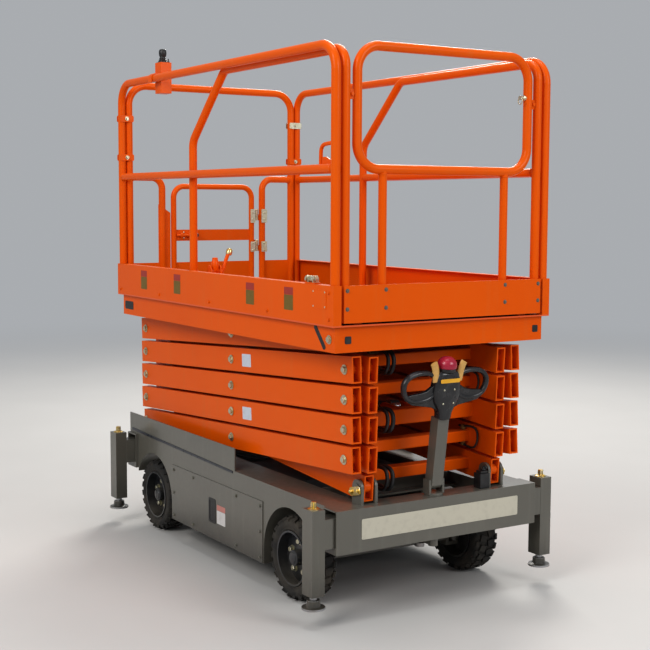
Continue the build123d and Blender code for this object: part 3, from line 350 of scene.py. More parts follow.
def stand(name, form, body, slot, *materials, bevel=0.0, segments=2, smooth=32.0):
    """Finish a mesh drawn in millimetres as one piece that rides on a body."""
    bmesh.ops.recalc_face_normals(form, faces=form.faces)
    mesh = bpy.data.meshes.new(name)
    form.to_mesh(mesh)
    form.free()
    mesh.transform(Matrix.Scale(MM, 4))
    for material in materials:
        mesh.materials.append(material)
    mesh.shade_smooth()
    mesh.set_sharp_from_angle(angle=radians(smooth))
    piece = put_in_scene(name, mesh)
    if bevel:
        rounding = piece.modifiers.new("rounded edges", "BEVEL")
        rounding.width = bevel * MM
        rounding.segments = segments
        rounding.limit_method = "ANGLE"
        rounding.angle_limit = radians(40)
        rounding.harden_normals = True
    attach(piece, body)
    return piece


def lofted(form, rings, colour=0, closed=False):
    """Faces between rings of equal count, joined round or closed at both ends."""
    made = [] if closed else [form.faces.new(reversed(rings[0])), form.faces.new(rings[-1])]
    for near, far in zip(rings, rings[1:] + rings[:1] if closed else rings[1:]):
        for at in range(len(near)):
            after = (at + 1) % len(near)
            made.append(form.faces.new((near[at], near[after], far[after], far[at])))
    for face in made:
        face.material_index = colour


def outlined(form, outline, origin, across, normal, depth, colour=0):
    """A flat outline given depth along its normal."""
    across = Vector(across).normalized()
    normal = Vector(normal).normalized()
    upward = normal.cross(across)
    low = [form.verts.new(Vector(origin) + across * x + upward * y) for x, y in outline]
    lofted(form, [low, [form.verts.new(v.co + normal * depth) for v in low]], colour)


def bar(form, low, high, colour=0):
    """A square-cut bar between two opposite corners."""
    width, length = high[0] - low[0], high[1] - low[1]
    outline = [(0, 0), (width, 0), (width, length), (0, length)]
    outlined(form, outline, low, (1, 0, 0), (0, 0, 1), high[2] - low[2], colour)


def rounded_sheet(width, height, radius, steps=4):
    """The outline of a sheet with round corners, about its middle."""
    points = []
    for quarter, (sx, sy) in enumerate(((1, 1), (-1, 1), (-1, -1), (1, -1))):
        for step in range(steps + 1):
            angle = (quarter + step / steps) * pi / 2
            points.append((sx * (width / 2 - radius) + radius * cos(angle),
                           sy * (height / 2 - radius) + radius * sin(angle)))
    return points


def moulded_plastic(name, colour, roughness, grain_scale=1300.0):
    """Moulded plastic with a fine spark-eroded grain and a little bleached dust."""
    material, shader, place = begin_finish(name)
    bloom = place.noise(22.0, 4.0)
    pale = tuple(min(1.0, shade * 1.5 + 0.03) for shade in colour[:3]) + (1,)
    end_finish(shader, place, {"Base Color": bloom.past(0.45, 1.8).mixed(colour, pale),
                               "Roughness": roughness + (bloom - 0.5) * 0.25,
                               "Normal": place.noise(grain_scale, 1.5).bump(0.25, 0.0002)})
    return material


def label_stock(name, colour, edge):
    """Blank vinyl or painted sheet, faintly soiled at its border and by fingers."""
    material, shader, place = begin_finish(name)
    soil = place.noise(35.0, 4.0)
    end_finish(shader, place, {"Base Color": soil.past(0.5, 1.7).mixed(colour, edge),
                               "Roughness": 0.32 + soil * 0.25})
    return material


LABEL_THICK = 0.5


def two_part_label(width, radius, x, y, side, parts):
    """A blank label of two colours, one over the other, on an upright face."""
    label = bmesh.new()
    for colour, (tall, z) in enumerate(parts):
        outlined(label, rounded_sheet(width, tall, radius), (x, y, z), (1, 0, 0), (0, side, 0),
                 LABEL_THICK, colour)
    return label


black_plastic = moulded_plastic("black plastic", (0.016, 0.016, 0.017, 1), 0.42)
white_sheet = label_stock("white sheet", (0.60, 0.58, 0.57, 1), (0.42, 0.40, 0.37, 1))
pink_sheet = label_stock("pink sheet", (0.50, 0.20, 0.17, 1), (0.42, 0.24, 0.20, 1))
PULL_X, PULL_Z = -68.0, 239.0
for side, hand in SIDES:
    pull = bmesh.new()
    face = side * PANEL_Y
    rim, slot_edge = rounded_sheet(72, 118, 9), rounded_sheet(50, 96, 7)
    lofted(pull, [[pull.verts.new((PULL_X + x * wide, face + side * out, PULL_Z + z * tall))
                   for x, z in outline]
                  for outline, out, wide, tall in ((rim, -0.2, 1, 1), (rim, 1.6, 1, 1),
                                                   (slot_edge, 1.6, 1, 1),
                                                   (slot_edge, -14.6, 0.86, 0.92))])
    bar(pull, (PULL_X - 6, min(face, face - side * 9), 190),
        (PULL_X + 6, max(face, face - side * 9), 288))
    stand(f"panel_pull_{hand}", pull, "chassis", "black_plastic", black_plastic, bevel=0.8)
    label = two_part_label(84, 4, PULL_X + 90, face, side, ((62, 219), (26, 264)))
    stand(f"panel_label_{hand}", label, "chassis", "black_plastic", white_sheet, pink_sheet)


# Laps of the upper side plates. Each plate is welded behind the top edge of its side box, and
# the lap is closed with a dark bead of sealant that falls slightly towards the front.

sealant = moulded_plastic("sealant", (0.020, 0.023, 0.032, 1), 0.3)
LAP_Y, LAP_DEPTH = 499.6, 3.4
LAP_OUTLINE = [(-1004, 479), (132, 452.5), (132, 463.5), (-1004, 492)]
for side, hand in SIDES:
    lap = bmesh.new()
    outlined(lap, [(-side * x, z) for x, z in LAP_OUTLINE], (0, side * LAP_Y, 0), (-side, 0, 0),
             (0, side, 0), LAP_DEPTH)
    stand(f"plate_lap_{hand}", lap, "chassis", "graphite_paint", sealant, bevel=1.2)


# Sign plate of the front beam. One blank off-white sheet of thin metal with round corners,
# held by eight round rivets of its own colour.

BEAM_FACE = 1033.0
plate = bmesh.new()
outlined(plate, rounded_sheet(810, 84, 6), (BEAM_FACE, 10, 380), (0, 1, 0), (1, 0, 0), 1.5)
plate_finish = label_stock("sign sheet", (0.53, 0.50, 0.41, 1), (0.42, 0.39, 0.32, 1))
stand("sign_plate", plate, "chassis", "bare_steel", plate_finish, bevel=0.4)

round_heads = bpy.data.node_groups.new("round heads", "GeometryNodeTree")
sizes_in = size_inputs(round_heads, {"Radius": 5.0, "Rise": 0.45})
radius = sizes_in["Radius"]
dome = radius.node("GeometryNodeMeshUVSphere", {}, {"Segments": 14, "Rings": 6,
                                                    "Radius": radius})
flat = radius.node("ShaderNodeCombineXYZ", {}, {"X": 1.0, "Y": 1.0, "Z": sizes_in["Rise"]})
dome = radius.node("GeometryNodeTransform", {}, {"Geometry": dome, "Scale": flat})
dome = radius.node("GeometryNodeSetShadeSmooth", {}, {"Geometry": dome})
repeat_on_points(sizes_in, dome)
spots = [((BEAM_FACE + 1.2, y, z), (1, 0, 0), 0.0) for y in (-385, -120, 145, 405)
         for z in (347, 413)]
set_out("sign_rivets", round_heads, {"Radius": 4.0, "Rise": 0.4}, spots, "chassis",
        plate_finish)


# Power pack. The batteries, pump and tank under the scissor are one dark block with a ribbed
# cover. A valve block stands on it, with two raised pads and a row of screwed plugs.

pack_cover = moulded_plastic("pack cover", (0.022, 0.022, 0.023, 1), 0.55, 700.0)
coat_nodes(pack_cover, "power_pack")
low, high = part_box("power_pack")
cover = bmesh.new()
PACK_TOP, VALVE_TOP, SUNK = 440.0, 455.0, 0.5
RIBS, RIB_PITCH, RIB_WIDTH, RIB_HEIGHT = 9, 34, 12, 7
rear_x, front_x = low[0] * 1000 + 14, high[0] * 1000 - 14
for rib in range(RIBS):
    x = rear_x + 60 + rib * RIB_PITCH
    for near_y, far_y in ((-268, -84), (84, 268)):
        bar(cover, (x, near_y, PACK_TOP - SUNK), (x + RIB_WIDTH, far_y, PACK_TOP + RIB_HEIGHT))
bar(cover, (front_x - 270, 118, PACK_TOP - SUNK), (front_x - 120, 214, VALVE_TOP))
for x in (front_x - 262, front_x - 176):
    bar(cover, (x, 130, VALVE_TOP), (x + 48, 168, VALVE_TOP + 4))
stand("pack_ribs", cover, "chassis", "pack_block", pack_cover, bevel=1.5)
spots = [((front_x - 250 + plug * 36, 192, VALVE_TOP), (0, 0, 1), plug) for plug in range(4)]
set_out("pack_plugs", hex_bolts, bolt(8.0, 4.5, 10.5, 1.2), spots, "chassis", dull_zinc)


# Entry ladder. Rungs and rails of round tube, bent and welded, stand on the rear beam and
# are sprayed as the chassis is.

coat_nodes(graphite, "entry_ladder")


# Wheels. A pressed rim carries a black tyre with blocks across its tread and over its
# shoulders. Five zinc nuts and a dust cap close the hub.


def turned(form, start, along, profile, sides=32, colour=0, ring=False):
    """A shape turned about an axis from pairs of radius and distance."""
    along = Vector(along).normalized()
    across = along.orthogonal().normalized()
    other = along.cross(across)
    rows = []
    for radius, distance in profile:
        middle = Vector(start) + along * distance
        if radius <= 0:
            rows.append([form.verts.new(middle)])
            continue
        rows.append([form.verts.new(middle + across * radius * cos(2 * pi * at / sides)
                                    + other * radius * sin(2 * pi * at / sides))
                     for at in range(sides)])
    pairs = list(zip(rows, rows[1:]))
    if ring:
        pairs.append((rows[-1], rows[0]))
    for near, far in pairs:
        for at in range(sides):
            after = (at + 1) % sides
            corners = [near[at % len(near)], near[after % len(near)],
                       far[after % len(far)], far[at % len(far)]]
            corners = [v for place, v in enumerate(corners) if v not in corners[:place]]
            form.faces.new(corners).material_index = colour


def tyre_rubber():
    """Black rubber, grey with road dust on its shoulders and in its grooves."""
    material, shader, place = begin_finish("tyre rubber")
    dust = place.noise(11.0, 4.0)
    colour = dust.past(0.40, 2.2).mixed((0.018, 0.017, 0.016, 1), (0.085, 0.072, 0.056, 1))
    end_finish(shader, place, {"Base Color": colour, "Roughness": 0.66 + dust * 0.3,
                               "Normal": place.noise(300.0, 3.0).bump(0.4, 0.0006)})
    return material


tread_blocks = bpy.data.node_groups.new("tread blocks", "GeometryNodeTree")
sizes_in = size_inputs(tread_blocks, {"Width": 34.0, "Length": 26.0, "Height": 10.0})
width = sizes_in["Width"]
shape = width.node("ShaderNodeCombineXYZ", {}, {"X": width, "Y": sizes_in["Length"],
                                                "Z": sizes_in["Height"]})
block = width.node("GeometryNodeMeshCube", {}, {"Size": shape})
repeat_on_points(sizes_in, block)

rubber = tyre_rubber()
TYRE_RADIUS = 180.0
WHEEL_Y = 432.0
BEAD = 118.3
side_profile = [(BEAD, 50), (120, 55), (126, 57.5), (130, 56), (137, 58.6), (144, 59.6),
                (152, 59.6), (156, 58.2), (159, 58.2), (163, 54.5), (167, 49), (169.5, 40)]
TREAD_ROWS, CROWN_RADIUS, SHOULDER_RADIUS = 24, 174.0, 167.2
wheels = [(x, end, side, hand) for x, end in ((640.0, "front"), (-735.0, "rear"))
          for side, hand in SIDES]
for x, end, side, hand in wheels:
    middle = Vector((x, side * WHEEL_Y, TYRE_RADIUS))
    carcass = bmesh.new()
    profile = side_profile + [(170.5, 20), (171, 0), (170.5, -20)]
    profile += [(radius, -across) for radius, across in reversed(side_profile)]
    turned(carcass, middle, (0, 1, 0), profile, sides=72, ring=True)
    tyre = stand(f"tyre_{end}_{hand}", carcass, f"{end}_wheel_{hand}", "tyre_rubber", rubber)
    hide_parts(f"{end}_tyre_{hand}")
    crown_spots, shoulder_spots = [], []
    for row in range(TREAD_ROWS):
        for across, lag, shoulder in ((-21, 0.0, False), (21, 0.5, False),
                                      (-49, 0.5, True), (49, 0.0, True)):
            angle = 2 * pi * (row + lag) / TREAD_ROWS
            out = Vector((cos(angle), 0, sin(angle)))
            beside = Vector((0, across, 0))
            lean = 1 if across > 0 else -1
            if shoulder:
                tip = (out + Vector((0, 0.42 * lean, 0))).normalized()
                shoulder_spots.append((middle + out * SHOULDER_RADIUS + beside, tip, 0.0))
            else:
                crown_spots.append((middle + out * CROWN_RADIUS + beside, out, 0.22 * lean))
    for name, spots, sizes in (
            ("crown", crown_spots, {"Width": 34.0, "Length": 29.0, "Height": 10.0}),
            ("shoulder", shoulder_spots, {"Width": 15.0, "Length": 27.0, "Height": 16.0})):
        set_out(f"tread_{name}_{end}_{hand}", tread_blocks, sizes, spots,
                f"{end}_wheel_{hand}", rubber)

# The rims are darkened towards the bottom with painted shade, as the chassis is.
rim_paint = sprayed_paint("rim paint", (0.012, 0.014, 0.018, 1), (0.026, 0.028, 0.034, 1),
                          (0.12, 0.12, 0.12, 1), gloss=0.3, dust=0.2, dirt_and_shade_height=0.28)
zinc = zinc_plate("zinc plate", (0.60, 0.56, 0.38, 1), roughness=0.34)
NUTS, NUT_CIRCLE = 5, 68
for x, end, side, hand in wheels:
    coat_nodes(rim_paint, f"{end}_rim_{hand}")
    middle = Vector((x, side * WHEEL_Y, TYRE_RADIUS))
    face = middle + Vector((0, side * 12, 0))
    angles = [radians(360 / NUTS * nut + 18) for nut in range(NUTS)]
    spots = [(face + Vector((cos(angle), 0, sin(angle))) * NUT_CIRCLE, (0, side, 0), angle)
             for angle in angles]
    set_out(f"wheel_nuts_{end}_{hand}", hex_bolts, bolt(12.5, 13.0, 17.0, 3.0), spots,
            f"{end}_wheel_{hand}", zinc)
    cap = bmesh.new()
    turned(cap, middle + Vector((0, side * 44.5, 0)), (0, side, 0),
           [(0, 0), (33, 0), (33, 3), (29, 6), (26, 6.5), (24, 10), (12, 12.5), (0, 13)], sides=28)
    stand(f"hub_cap_{end}_{hand}", cap, f"{end}_wheel_{hand}", "rim_paint", rim_paint)


# Steering links and rollers. The tie rod and the rollers of the scissor are plain turned steel
# with a film of oil. The knuckles and the tiller's yoke are sprayed as the chassis is.


def bare_metal(name, colour, roughness, stain):
    """Machined steel, brushed one way and stained with a little oil and rust."""
    material, shader, place = begin_finish(name)
    shader.inputs["Metallic"].default_value = 0.85
    brushed = place.stretched((12.0, 400.0, 400.0)).noise(1.0, 2.0)
    oil = place.noise(16.0, 4.0)
    end_finish(shader, place, {"Base Color": oil.past(0.45, 2.0).mixed(colour, stain),
                               "Roughness": roughness + (brushed - 0.5) * 0.3 + oil * 0.15})
    return material


steel = bare_metal("bare steel", (0.42, 0.42, 0.43, 1), 0.34, (0.17, 0.12, 0.08, 1))
coat_nodes(steel, "tie_rod", "bottom_rollers", "top_rollers")
coat_nodes(graphite, "knuckle_right", "knuckle_left", "tiller_yoke")


# Outriggers. Four square legs slide out of the beams, and a screw in each lets down a round
# foot. The hexagon that a crank turns stands on top, yellow with zinc.

yellow_zinc = zinc_plate("yellow zinc", (0.72, 0.50, 0.10, 1), 0.30)
LEG_X, LEG_Y, LEG_TOP, FOOT_BOTTOM = 982.5, 590.0, 478, 75
for end, end_name in ((1, "front"), (-1, "rear")):
    for side, hand in SIDES:
        leg = f"outrigger_{end_name}_{hand}"
        jack = f"jack_{end_name}_{hand}"
        coat_nodes(graphite, leg)
        coat_nodes(steel, jack)
        x, y = end * LEG_X, side * LEG_Y
        caps = bmesh.new()
        turned(caps, (x, y, LEG_TOP), (0, 0, 1),
               [(0, 0), (24, 0), (24, 3), (20, 4.6), (13, 4.6), (13, 4), (0, 4)], sides=28)
        stand(f"drive_washer_{end_name}_{hand}", caps, leg, "zinc", yellow_zinc)
        set_out(f"drive_head_{end_name}_{hand}", hex_bolts, bolt(12.6, 19.5, 17.5, 3.2),
                [((x, y, LEG_TOP + 3.5), (0, 0, 1), 0.3)], leg, yellow_zinc)
        pad = bmesh.new()
        turned(pad, (x, y, FOOT_BOTTOM), (0, 0, 1),
               [(0, 0), (45, 0), (47.4, 1.5), (47.9, 5), (46.6, 8.6), (36, 9.6), (30, 12),
                (28, 20), (27, 34), (24, 37), (16, 38), (0, 38)], sides=40)
        stand(f"foot_{end_name}_{hand}", pad, jack, "bare_steel", graphite)


# Scissor. Ten pairs of box-section arms, sprayed bright orange, turn on shafts that zinc-plated
# bolts and washers hold from outside. Round bosses carry the shafts inside the arms' ends, and
# two of the outer arms have a blank label.

orange = sprayed_paint("orange paint", (0.74, 0.112, 0.001, 1), (0.69, 0.097, 0.001, 1),
                       (0.58, 0.17, 0.04, 1), gloss=0.32, dust=0.10, dirt_and_shade_height=0.02,
                       glaze=0.07, mirror=0.12)
LEVELS = range(1, 6)
coat_nodes(orange, *(f"{row}_arms_{level}" for row in ("inner", "outer") for level in LEVELS))
PITCH, PIN_Z = 121.5, 532.0
FRONT_PIN_X, REAR_PIN_X = 955.0, -975.0
ARM_FACE = 430.0
for level in LEVELS:
    places = [((FRONT_PIN_X + REAR_PIN_X) / 2, PIN_Z + PITCH * (level - 0.5)),
              (REAR_PIN_X, PIN_Z + PITCH * (level - 1))]
    if level < LEVELS[-1]:
        places.append((FRONT_PIN_X, PIN_Z + PITCH * level))
    spots = [((x, side * ARM_FACE, z), (0, side, 0), 0.4 * level + x)
             for x, z in places for side in (-1, 1)]
    set_out(f"pin_heads_{level}", hex_bolts, bolt(13.5, 8.5, 20.5, 3.5), spots,
            f"outer_arms_{level}", zinc)

for level in LEVELS:
    for row, near_y in (("outer", 389.2), ("inner", 310.2)):
        bosses = bmesh.new()
        for x in (REAR_PIN_X, FRONT_PIN_X):
            rise = level if (row == "outer") == (x > 0) else level - 1
            for side in (-1, 1):
                turned(bosses, (x, side * near_y, PIN_Z + PITCH * rise), (0, side, 0),
                       [(0, 0), (21, 0), (22, 1), (22, 35.6), (21, 36.6), (0, 36.6)], sides=24)
        stand(f"{row}_arm_bosses_{level}", bosses, f"{row}_arms_{level}", "orange_paint", orange)

slope = Vector((FRONT_PIN_X - REAR_PIN_X, 0, PITCH)).normalized()
blue_white = label_stock("pale blue sheet", (0.56, 0.60, 0.68, 1), (0.42, 0.40, 0.38, 1))
for level, x, z in ((4, 135.0, 966.4), (2, 139.0, 723.8)):
    label = bmesh.new()
    outlined(label, rounded_sheet(84, 58, 4), (x, -ARM_FACE, z), slope, (0, -1, 0), LABEL_THICK)
    stand(f"arm_label_{level}", label, f"outer_arms_{level}", "black_plastic", blue_white)


# Keepers of the lowest front pins. A yellow zinc plate with two bolts stops each pin from
# turning in its lugs on the front beam, and a black switch beside them feels the lowest arms.

KEEPER_X, KEEPER_Y, KEEPER_Z = FRONT_PIN_X - 4, 372.7, PIN_Z - 14
KEEPER_RISE, KEEPER_THICK = 0.25, 4
for side, hand in SIDES:
    keeper = bmesh.new()
    outlined(keeper, rounded_sheet(74, 36, 9), (KEEPER_X, side * KEEPER_Y, KEEPER_Z),
             (1, 0, KEEPER_RISE), (0, side, 0), KEEPER_THICK)
    stand(f"pin_keeper_{hand}", keeper, "chassis", "zinc", yellow_zinc, bevel=0.8)
    spots = [((KEEPER_X + x, side * (KEEPER_Y + KEEPER_THICK), KEEPER_Z + x * KEEPER_RISE),
              (0, side, 0), 0.2) for x in (-25, 25)]
    set_out(f"keeper_bolts_{hand}", hex_bolts, bolt(8.5, 6.5, 11.5, 2.0), spots, "chassis",
            yellow_zinc)

switch = bmesh.new()
bar(switch, (962, 229, 466.2), (1008, 279, 530))
bar(switch, (968, 236, 530), (1002, 272, 541))
turned(switch, (985, 262, 541), (0, 0, 1), [(0, 0), (11, 0), (11, 6), (6, 9), (5, 16), (0, 16)],
       sides=20)
turned(switch, (985, 268, 551), (0, 1, 0), [(0, 0), (9, 0), (9, 8), (0, 8)], sides=20)
stand("arm_switch", switch, "chassis", "black_plastic", black_plastic, bevel=1.6)


# Hoses of the scissor. Two rubber hoses loop round the front cross tube of every other pair
# of inner arms and one round the pairs between them, each held to its tube by plastic clips.


def smooth_way(points, steps=7, closed=False):
    """Points along a smooth curve through the given ones."""
    points = [Vector(point) for point in points]
    count = len(points)
    spans = count if closed else count - 1
    way = []
    for span in range(spans):
        near = [points[(span + shift) % count] if closed
                else points[min(max(span + shift, 0), count - 1)] for shift in (-1, 0, 1, 2)]
        for step in range(steps):
            t = step / steps
            way.append(0.5 * (2 * near[1] + (near[2] - near[0]) * t
                              + (2 * near[0] - 5 * near[1] + 4 * near[2] - near[3]) * t ** 2
                              + (3 * near[1] - near[0] - 3 * near[2] + near[3]) * t ** 3))
    return way if closed else way + [points[-1]]


def run_tube(form, way, radius, sides=12, closed=False, flat=1.0, flat_way=None, colour=0):
    """A tube along points, round or flattened across one direction."""
    count, across, rings = len(way), None, []
    for at in range(count):
        before = way[at - 1] if at or closed else way[at]
        after = way[(at + 1) % count] if at < count - 1 or closed else way[at]
        along = (after - before).normalized()
        if flat_way is not None:
            across = Vector(flat_way)
        elif across is None:
            across = along.orthogonal()
        across = (across - along * across.dot(along)).normalized()
        other = along.cross(across)
        rings.append([form.verts.new(way[at] + across * radius * flat * cos(2 * pi * k / sides)
                                     + other * radius * sin(2 * pi * k / sides))
                      for k in range(sides)])
    lofted(form, rings, colour, closed)


hose_rubber = moulded_plastic("hose rubber", (0.013, 0.013, 0.014, 1), 0.5, 800.0)
clip_plastic = moulded_plastic("clip plastic", (0.30, 0.19, 0.07, 1), 0.5)
TUBE_X, TUBE_RISE, TUBE_HALF = 805.0, 9.4, 24.5
for level in LEVELS:
    z = PIN_Z + PITCH * (level - 1) + TUBE_RISE
    hoses = bmesh.new()
    lanes = ((-206, 8, 0), (-184, 9, 8)) if level % 2 else ((292, 5, -30),)
    for y, radius, out in lanes:
        run_tube(hoses, smooth_way([(776, y, z + 39), (830 + out, y, z + 40),
                                    (890 + out, y, z + 46), (920 + out, y + 5, z + 34),
                                    (930 + out, y + 5, z), (922 + out, y, z - 34),
                                    (892 + out, y, z - 47), (830 + out, y, z - 40),
                                    (776, y, z - 39)]), radius)
        for sign in (-1, 1):
            low_z = z + sign * TUBE_HALF
            high_z = z + sign * (41 + radius)
            bar(hoses, (TUBE_X - 7, y - radius - 3, min(low_z, high_z)),
                (TUBE_X + 7, y + radius + 3, max(low_z, high_z)), 1)
    stand(f"hose_loop_{level}", hoses, f"inner_arms_{level}", "black_plastic", hose_rubber,
          clip_plastic, bevel=0.6)


# Lift cylinder. A barrel sprayed orange with a screwed gland, a black oil pipe in clamps along
# its side, and a hard-chromed rod.

chrome = bare_metal("hard chrome", (0.62, 0.62, 0.64, 1), 0.08, (0.50, 0.50, 0.52, 1))
pipe_paint = sprayed_paint("pipe paint", (0.03, 0.03, 0.032, 1), (0.05, 0.05, 0.05, 1),
                           (0.2, 0.2, 0.2, 1), gloss=0.3, dust=0.2, dirt_and_shade_height=0.02)
coat_nodes(chrome, "cylinder_rod")
coat_nodes(orange, "cylinder_barrel")
EYE_RADIUS, BARREL_END = 34, 1300.0
low = Vector(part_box("cylinder_barrel")[0]) * 1000
high = Vector(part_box("cylinder_rod")[1]) * 1000
foot = Vector((low.x + EYE_RADIUS, 0, low.z + EYE_RADIUS))
head = Vector((high.x - EYE_RADIUS, 0, high.z - EYE_RADIUS))
along = (head - foot).normalized()
side_way = Vector((0, -1, 0))
above = along.cross(side_way)
above = above if above.z > 0 else -above
gland = bmesh.new()
turned(gland, foot + along * (BARREL_END - 30), along,
       [(45.2, 0), (48, 2), (48, 24), (46, 27), (45.2, 30)], sides=40, ring=True)
turned(gland, foot + along * (BARREL_END + 0.3), along,
       [(26, 0), (37, 0), (36, 5), (31, 9), (26, 9.5)], sides=40, ring=True)
stand("cylinder_gland", gland, "cylinder_barrel", "bare_steel", steel)
pipe = bmesh.new()
REAR_PORT, FRONT_PORT = 150, BARREL_END - 76
points = [foot + along * at + side_way * out
          for at, out in ((REAR_PORT, 42), (REAR_PORT + 2, 58), (185, 60), (600, 60),
                          (BARREL_END - 110, 60), (FRONT_PORT - 2, 58), (FRONT_PORT, 42))]
run_tube(pipe, smooth_way(points, 9), 6)
for at in (REAR_PORT, FRONT_PORT):
    turned(pipe, foot + along * at + side_way * 40, side_way,
           [(0, 0), (13, 0), (13, 8), (10, 9), (10, 14), (0, 14)], sides=6)
for at in (420, 860):
    turned(pipe, foot + along * at, along, [(42.2, 0), (45, 1), (45, 17), (42.2, 18)],
           sides=40, ring=True)
    middle = foot + along * (at + 9) + side_way * 56
    outlined(pipe, rounded_sheet(18, 26, 5), middle - above * 6, along, above, 12)
stand("cylinder_pipe", pipe, "cylinder_barrel", "bare_steel", pipe_paint, bevel=0.5)


# Platform. A folded skirt and cross members under a tread plate, all sprayed orange but for
# the worn plate itself, into which low studs are rolled. Black plugs close the skirt's slots,
# and the sliding deck over it has the same studs under orange paint.

coat_nodes(orange, "platform_frame")
deck_plate = sprayed_paint("deck plate", (0.085, 0.085, 0.085, 1), (0.12, 0.12, 0.118, 1),
                           (0.33, 0.33, 0.33, 1), gloss=0.42, dust=0.5, dirt_and_shade_height=0.02,
                           border=(1.044, 0.538, (0.70, 0.092, 0.003, 1)))
coat_nodes(deck_plate, "deck")
coat_nodes(orange, "extension_deck")
DECK_TOP, EXTENSION_TOP = 1205.0, 1217.0
SKIRT_X, SKIRT_Y = 1036.0, 529.0

plugs = bmesh.new()
for side in (-1, 1):
    outlined(plugs, rounded_sheet(104, 42, 8), (-961, side * SKIRT_Y, 1146), (1, 0, 0),
             (0, side, 0), 1.4)
    outlined(plugs, rounded_sheet(118, 22, 9), (926, side * SKIRT_Y, 1151), (0.66, 0, -0.75),
             (0, side, 0), 1.2)
    for end in (-1, 1):
        outlined(plugs, rounded_sheet(30, 30, 5), (end * SKIRT_X, side * 480 + 12, 1145),
                 (0, 1, 0), (end, 0, 0), 1.6)
stand("skirt_plugs", plugs, "platform", "black_plastic", black_plastic, bevel=0.7)
spots = [((996, side * SKIRT_Y, 1147), (0, side, 0), 0.4) for side in (-1, 1)]
set_out("skirt_pins", hex_bolts, bolt(12.5, 7.5, 18.0, 2.6), spots, "platform", zinc)

studs = bpy.data.node_groups.new("tread studs", "GeometryNodeTree")
sizes_in = size_inputs(studs, {"Length": 13.0, "Width": 4.0, "Rise": 1.2})
length = sizes_in["Length"]
stud = length.node("GeometryNodeMeshUVSphere", {}, {"Segments": 8, "Rings": 4, "Radius": 1.0})
stretch = length.node("ShaderNodeCombineXYZ", {}, {"X": length, "Y": sizes_in["Width"],
                                                   "Z": sizes_in["Rise"]})
stud = length.node("GeometryNodeTransform", {}, {"Geometry": stud, "Scale": stretch})
repeat_on_points(sizes_in, stud)

STUD = {"Length": 12.0, "Width": 3.6, "Rise": 1.3}
STUD_PITCH = 38.0
RUNNER_NEAR, RUNNER_FAR = 388, 452


def stud_rows(low_x, high_x, half_y, z, runners=False):
    """Studs in rows that lean by turns left and right, none under the runners of a deck."""
    spots = []
    half = int(half_y / STUD_PITCH)
    for row in range(int((high_x - low_x) / STUD_PITCH) + 1):
        for place in range(2 * half + 1):
            y = (place - half) * STUD_PITCH
            if not (runners and RUNNER_NEAR <= abs(y) <= RUNNER_FAR):
                turn = pi / 4 if (row + place) % 2 else -pi / 4
                spots.append(((low_x + row * STUD_PITCH, y, z), (0, 0, 1), turn))
    return spots


set_out("deck_studs", studs, STUD, stud_rows(-1004, 1016, 500, DECK_TOP, runners=True),
        "platform", deck_plate)
set_out("extension_studs", studs, STUD, stud_rows(-288, 1010, 440, EXTENSION_TOP), "extension",
        orange)


# Toe boards and guardrails. The boards are folded sheet and the rails bent round tube, with
# a gate in the rear rail and a loop at the front of the sliding deck, all sprayed orange.

coat_nodes(orange, "toe_board_right", "toe_board_left", "guardrail_right", "guardrail_left",
           "rear_rail", "gate", "extension_rail_right", "extension_rail_left", "front_loop")


# Labels and bolts of the toe boards. Four blank upright labels, red over olive, stand on the
# right-hand board beside a riveted cover plate, and small bolts hold the front panel.

TOE_X, TOE_Y = 1058.0, 551.0
label_red = label_stock("label red", (0.34, 0.030, 0.018, 1), (0.25, 0.05, 0.03, 1))
label_olive = label_stock("label olive", (0.17, 0.105, 0.010, 1), (0.12, 0.085, 0.02, 1))
for place, x in enumerate((-722.0, -336.0, 391.0, 718.0), start=1):
    label = two_part_label(72, 3, x, -TOE_Y, -1, ((62, 1275.5), (30, 1322.5)))
    stand(f"toe_label_{place}", label, "platform", "black_plastic", label_olive, label_red)

COVER_X, COVER_Z = 955, 1304
cover = bmesh.new()
outlined(cover, rounded_sheet(104, 76, 6), (COVER_X, -TOE_Y, COVER_Z), (1, 0, 0), (0, -1, 0), 1.8)
stand("corner_plate", cover, "platform", "orange_paint", orange, bevel=0.5)
spots = [((COVER_X + x, -TOE_Y - 1.4, COVER_Z + z), (0, -1, 0), 0.0)
         for x in (-43, 43) for z in (-29, 29)]
set_out("cover_rivets", round_heads, {"Radius": 4.2, "Rise": 0.45}, spots, "platform",
        zinc)

SMALL_BOLT = bolt(6.0, 3.4, 8.6, 1.2)
TOE_BOLTS = [(x, 1228) for x in (-1020, -540, 0, 540, 1026)] + [(1026, 1332)]
spots = [((TOE_X, y, z), (1, 0, 0), y) for y in (-486, -304, 304, 486) for z in (1268, 1340)]
set_out("front_panel_bolts", hex_bolts, SMALL_BOLT, spots, "extension",
        graphite)
for side, hand in SIDES:
    spots = [((x, side * TOE_Y, z), (0, side, 0), x) for x, z in TOE_BOLTS]
    set_out(f"toe_bolts_{hand}", hex_bolts, SMALL_BOLT, spots, "platform", orange)


# Joints of the rails. A bead of weld runs round each tube end, and bolted links, one of them
# bare zinc, tie the side rails to the rear rail at both corners. A bent grab stands on a web
# at the front right corner.

RAIL_X, RAIL_Y, MID_Z = 1035.7, 528.7, 1811.0
REAR_POST_Y = 489.7
EXT_Y, EXT_POST_X, EXT_REAR_X = 484.0, 1033.0, -291


def weld_round(form, middle, along, radius):
    """One bead of weld round a tube."""
    turned(form, middle, along, [(radius - 0.5, -3.2), (radius + 2.2, -1.7), (radius + 3.0, 0.3),
                                 (radius + 1.6, 2.4), (radius - 0.5, 3.2)], sides=28, ring=True)


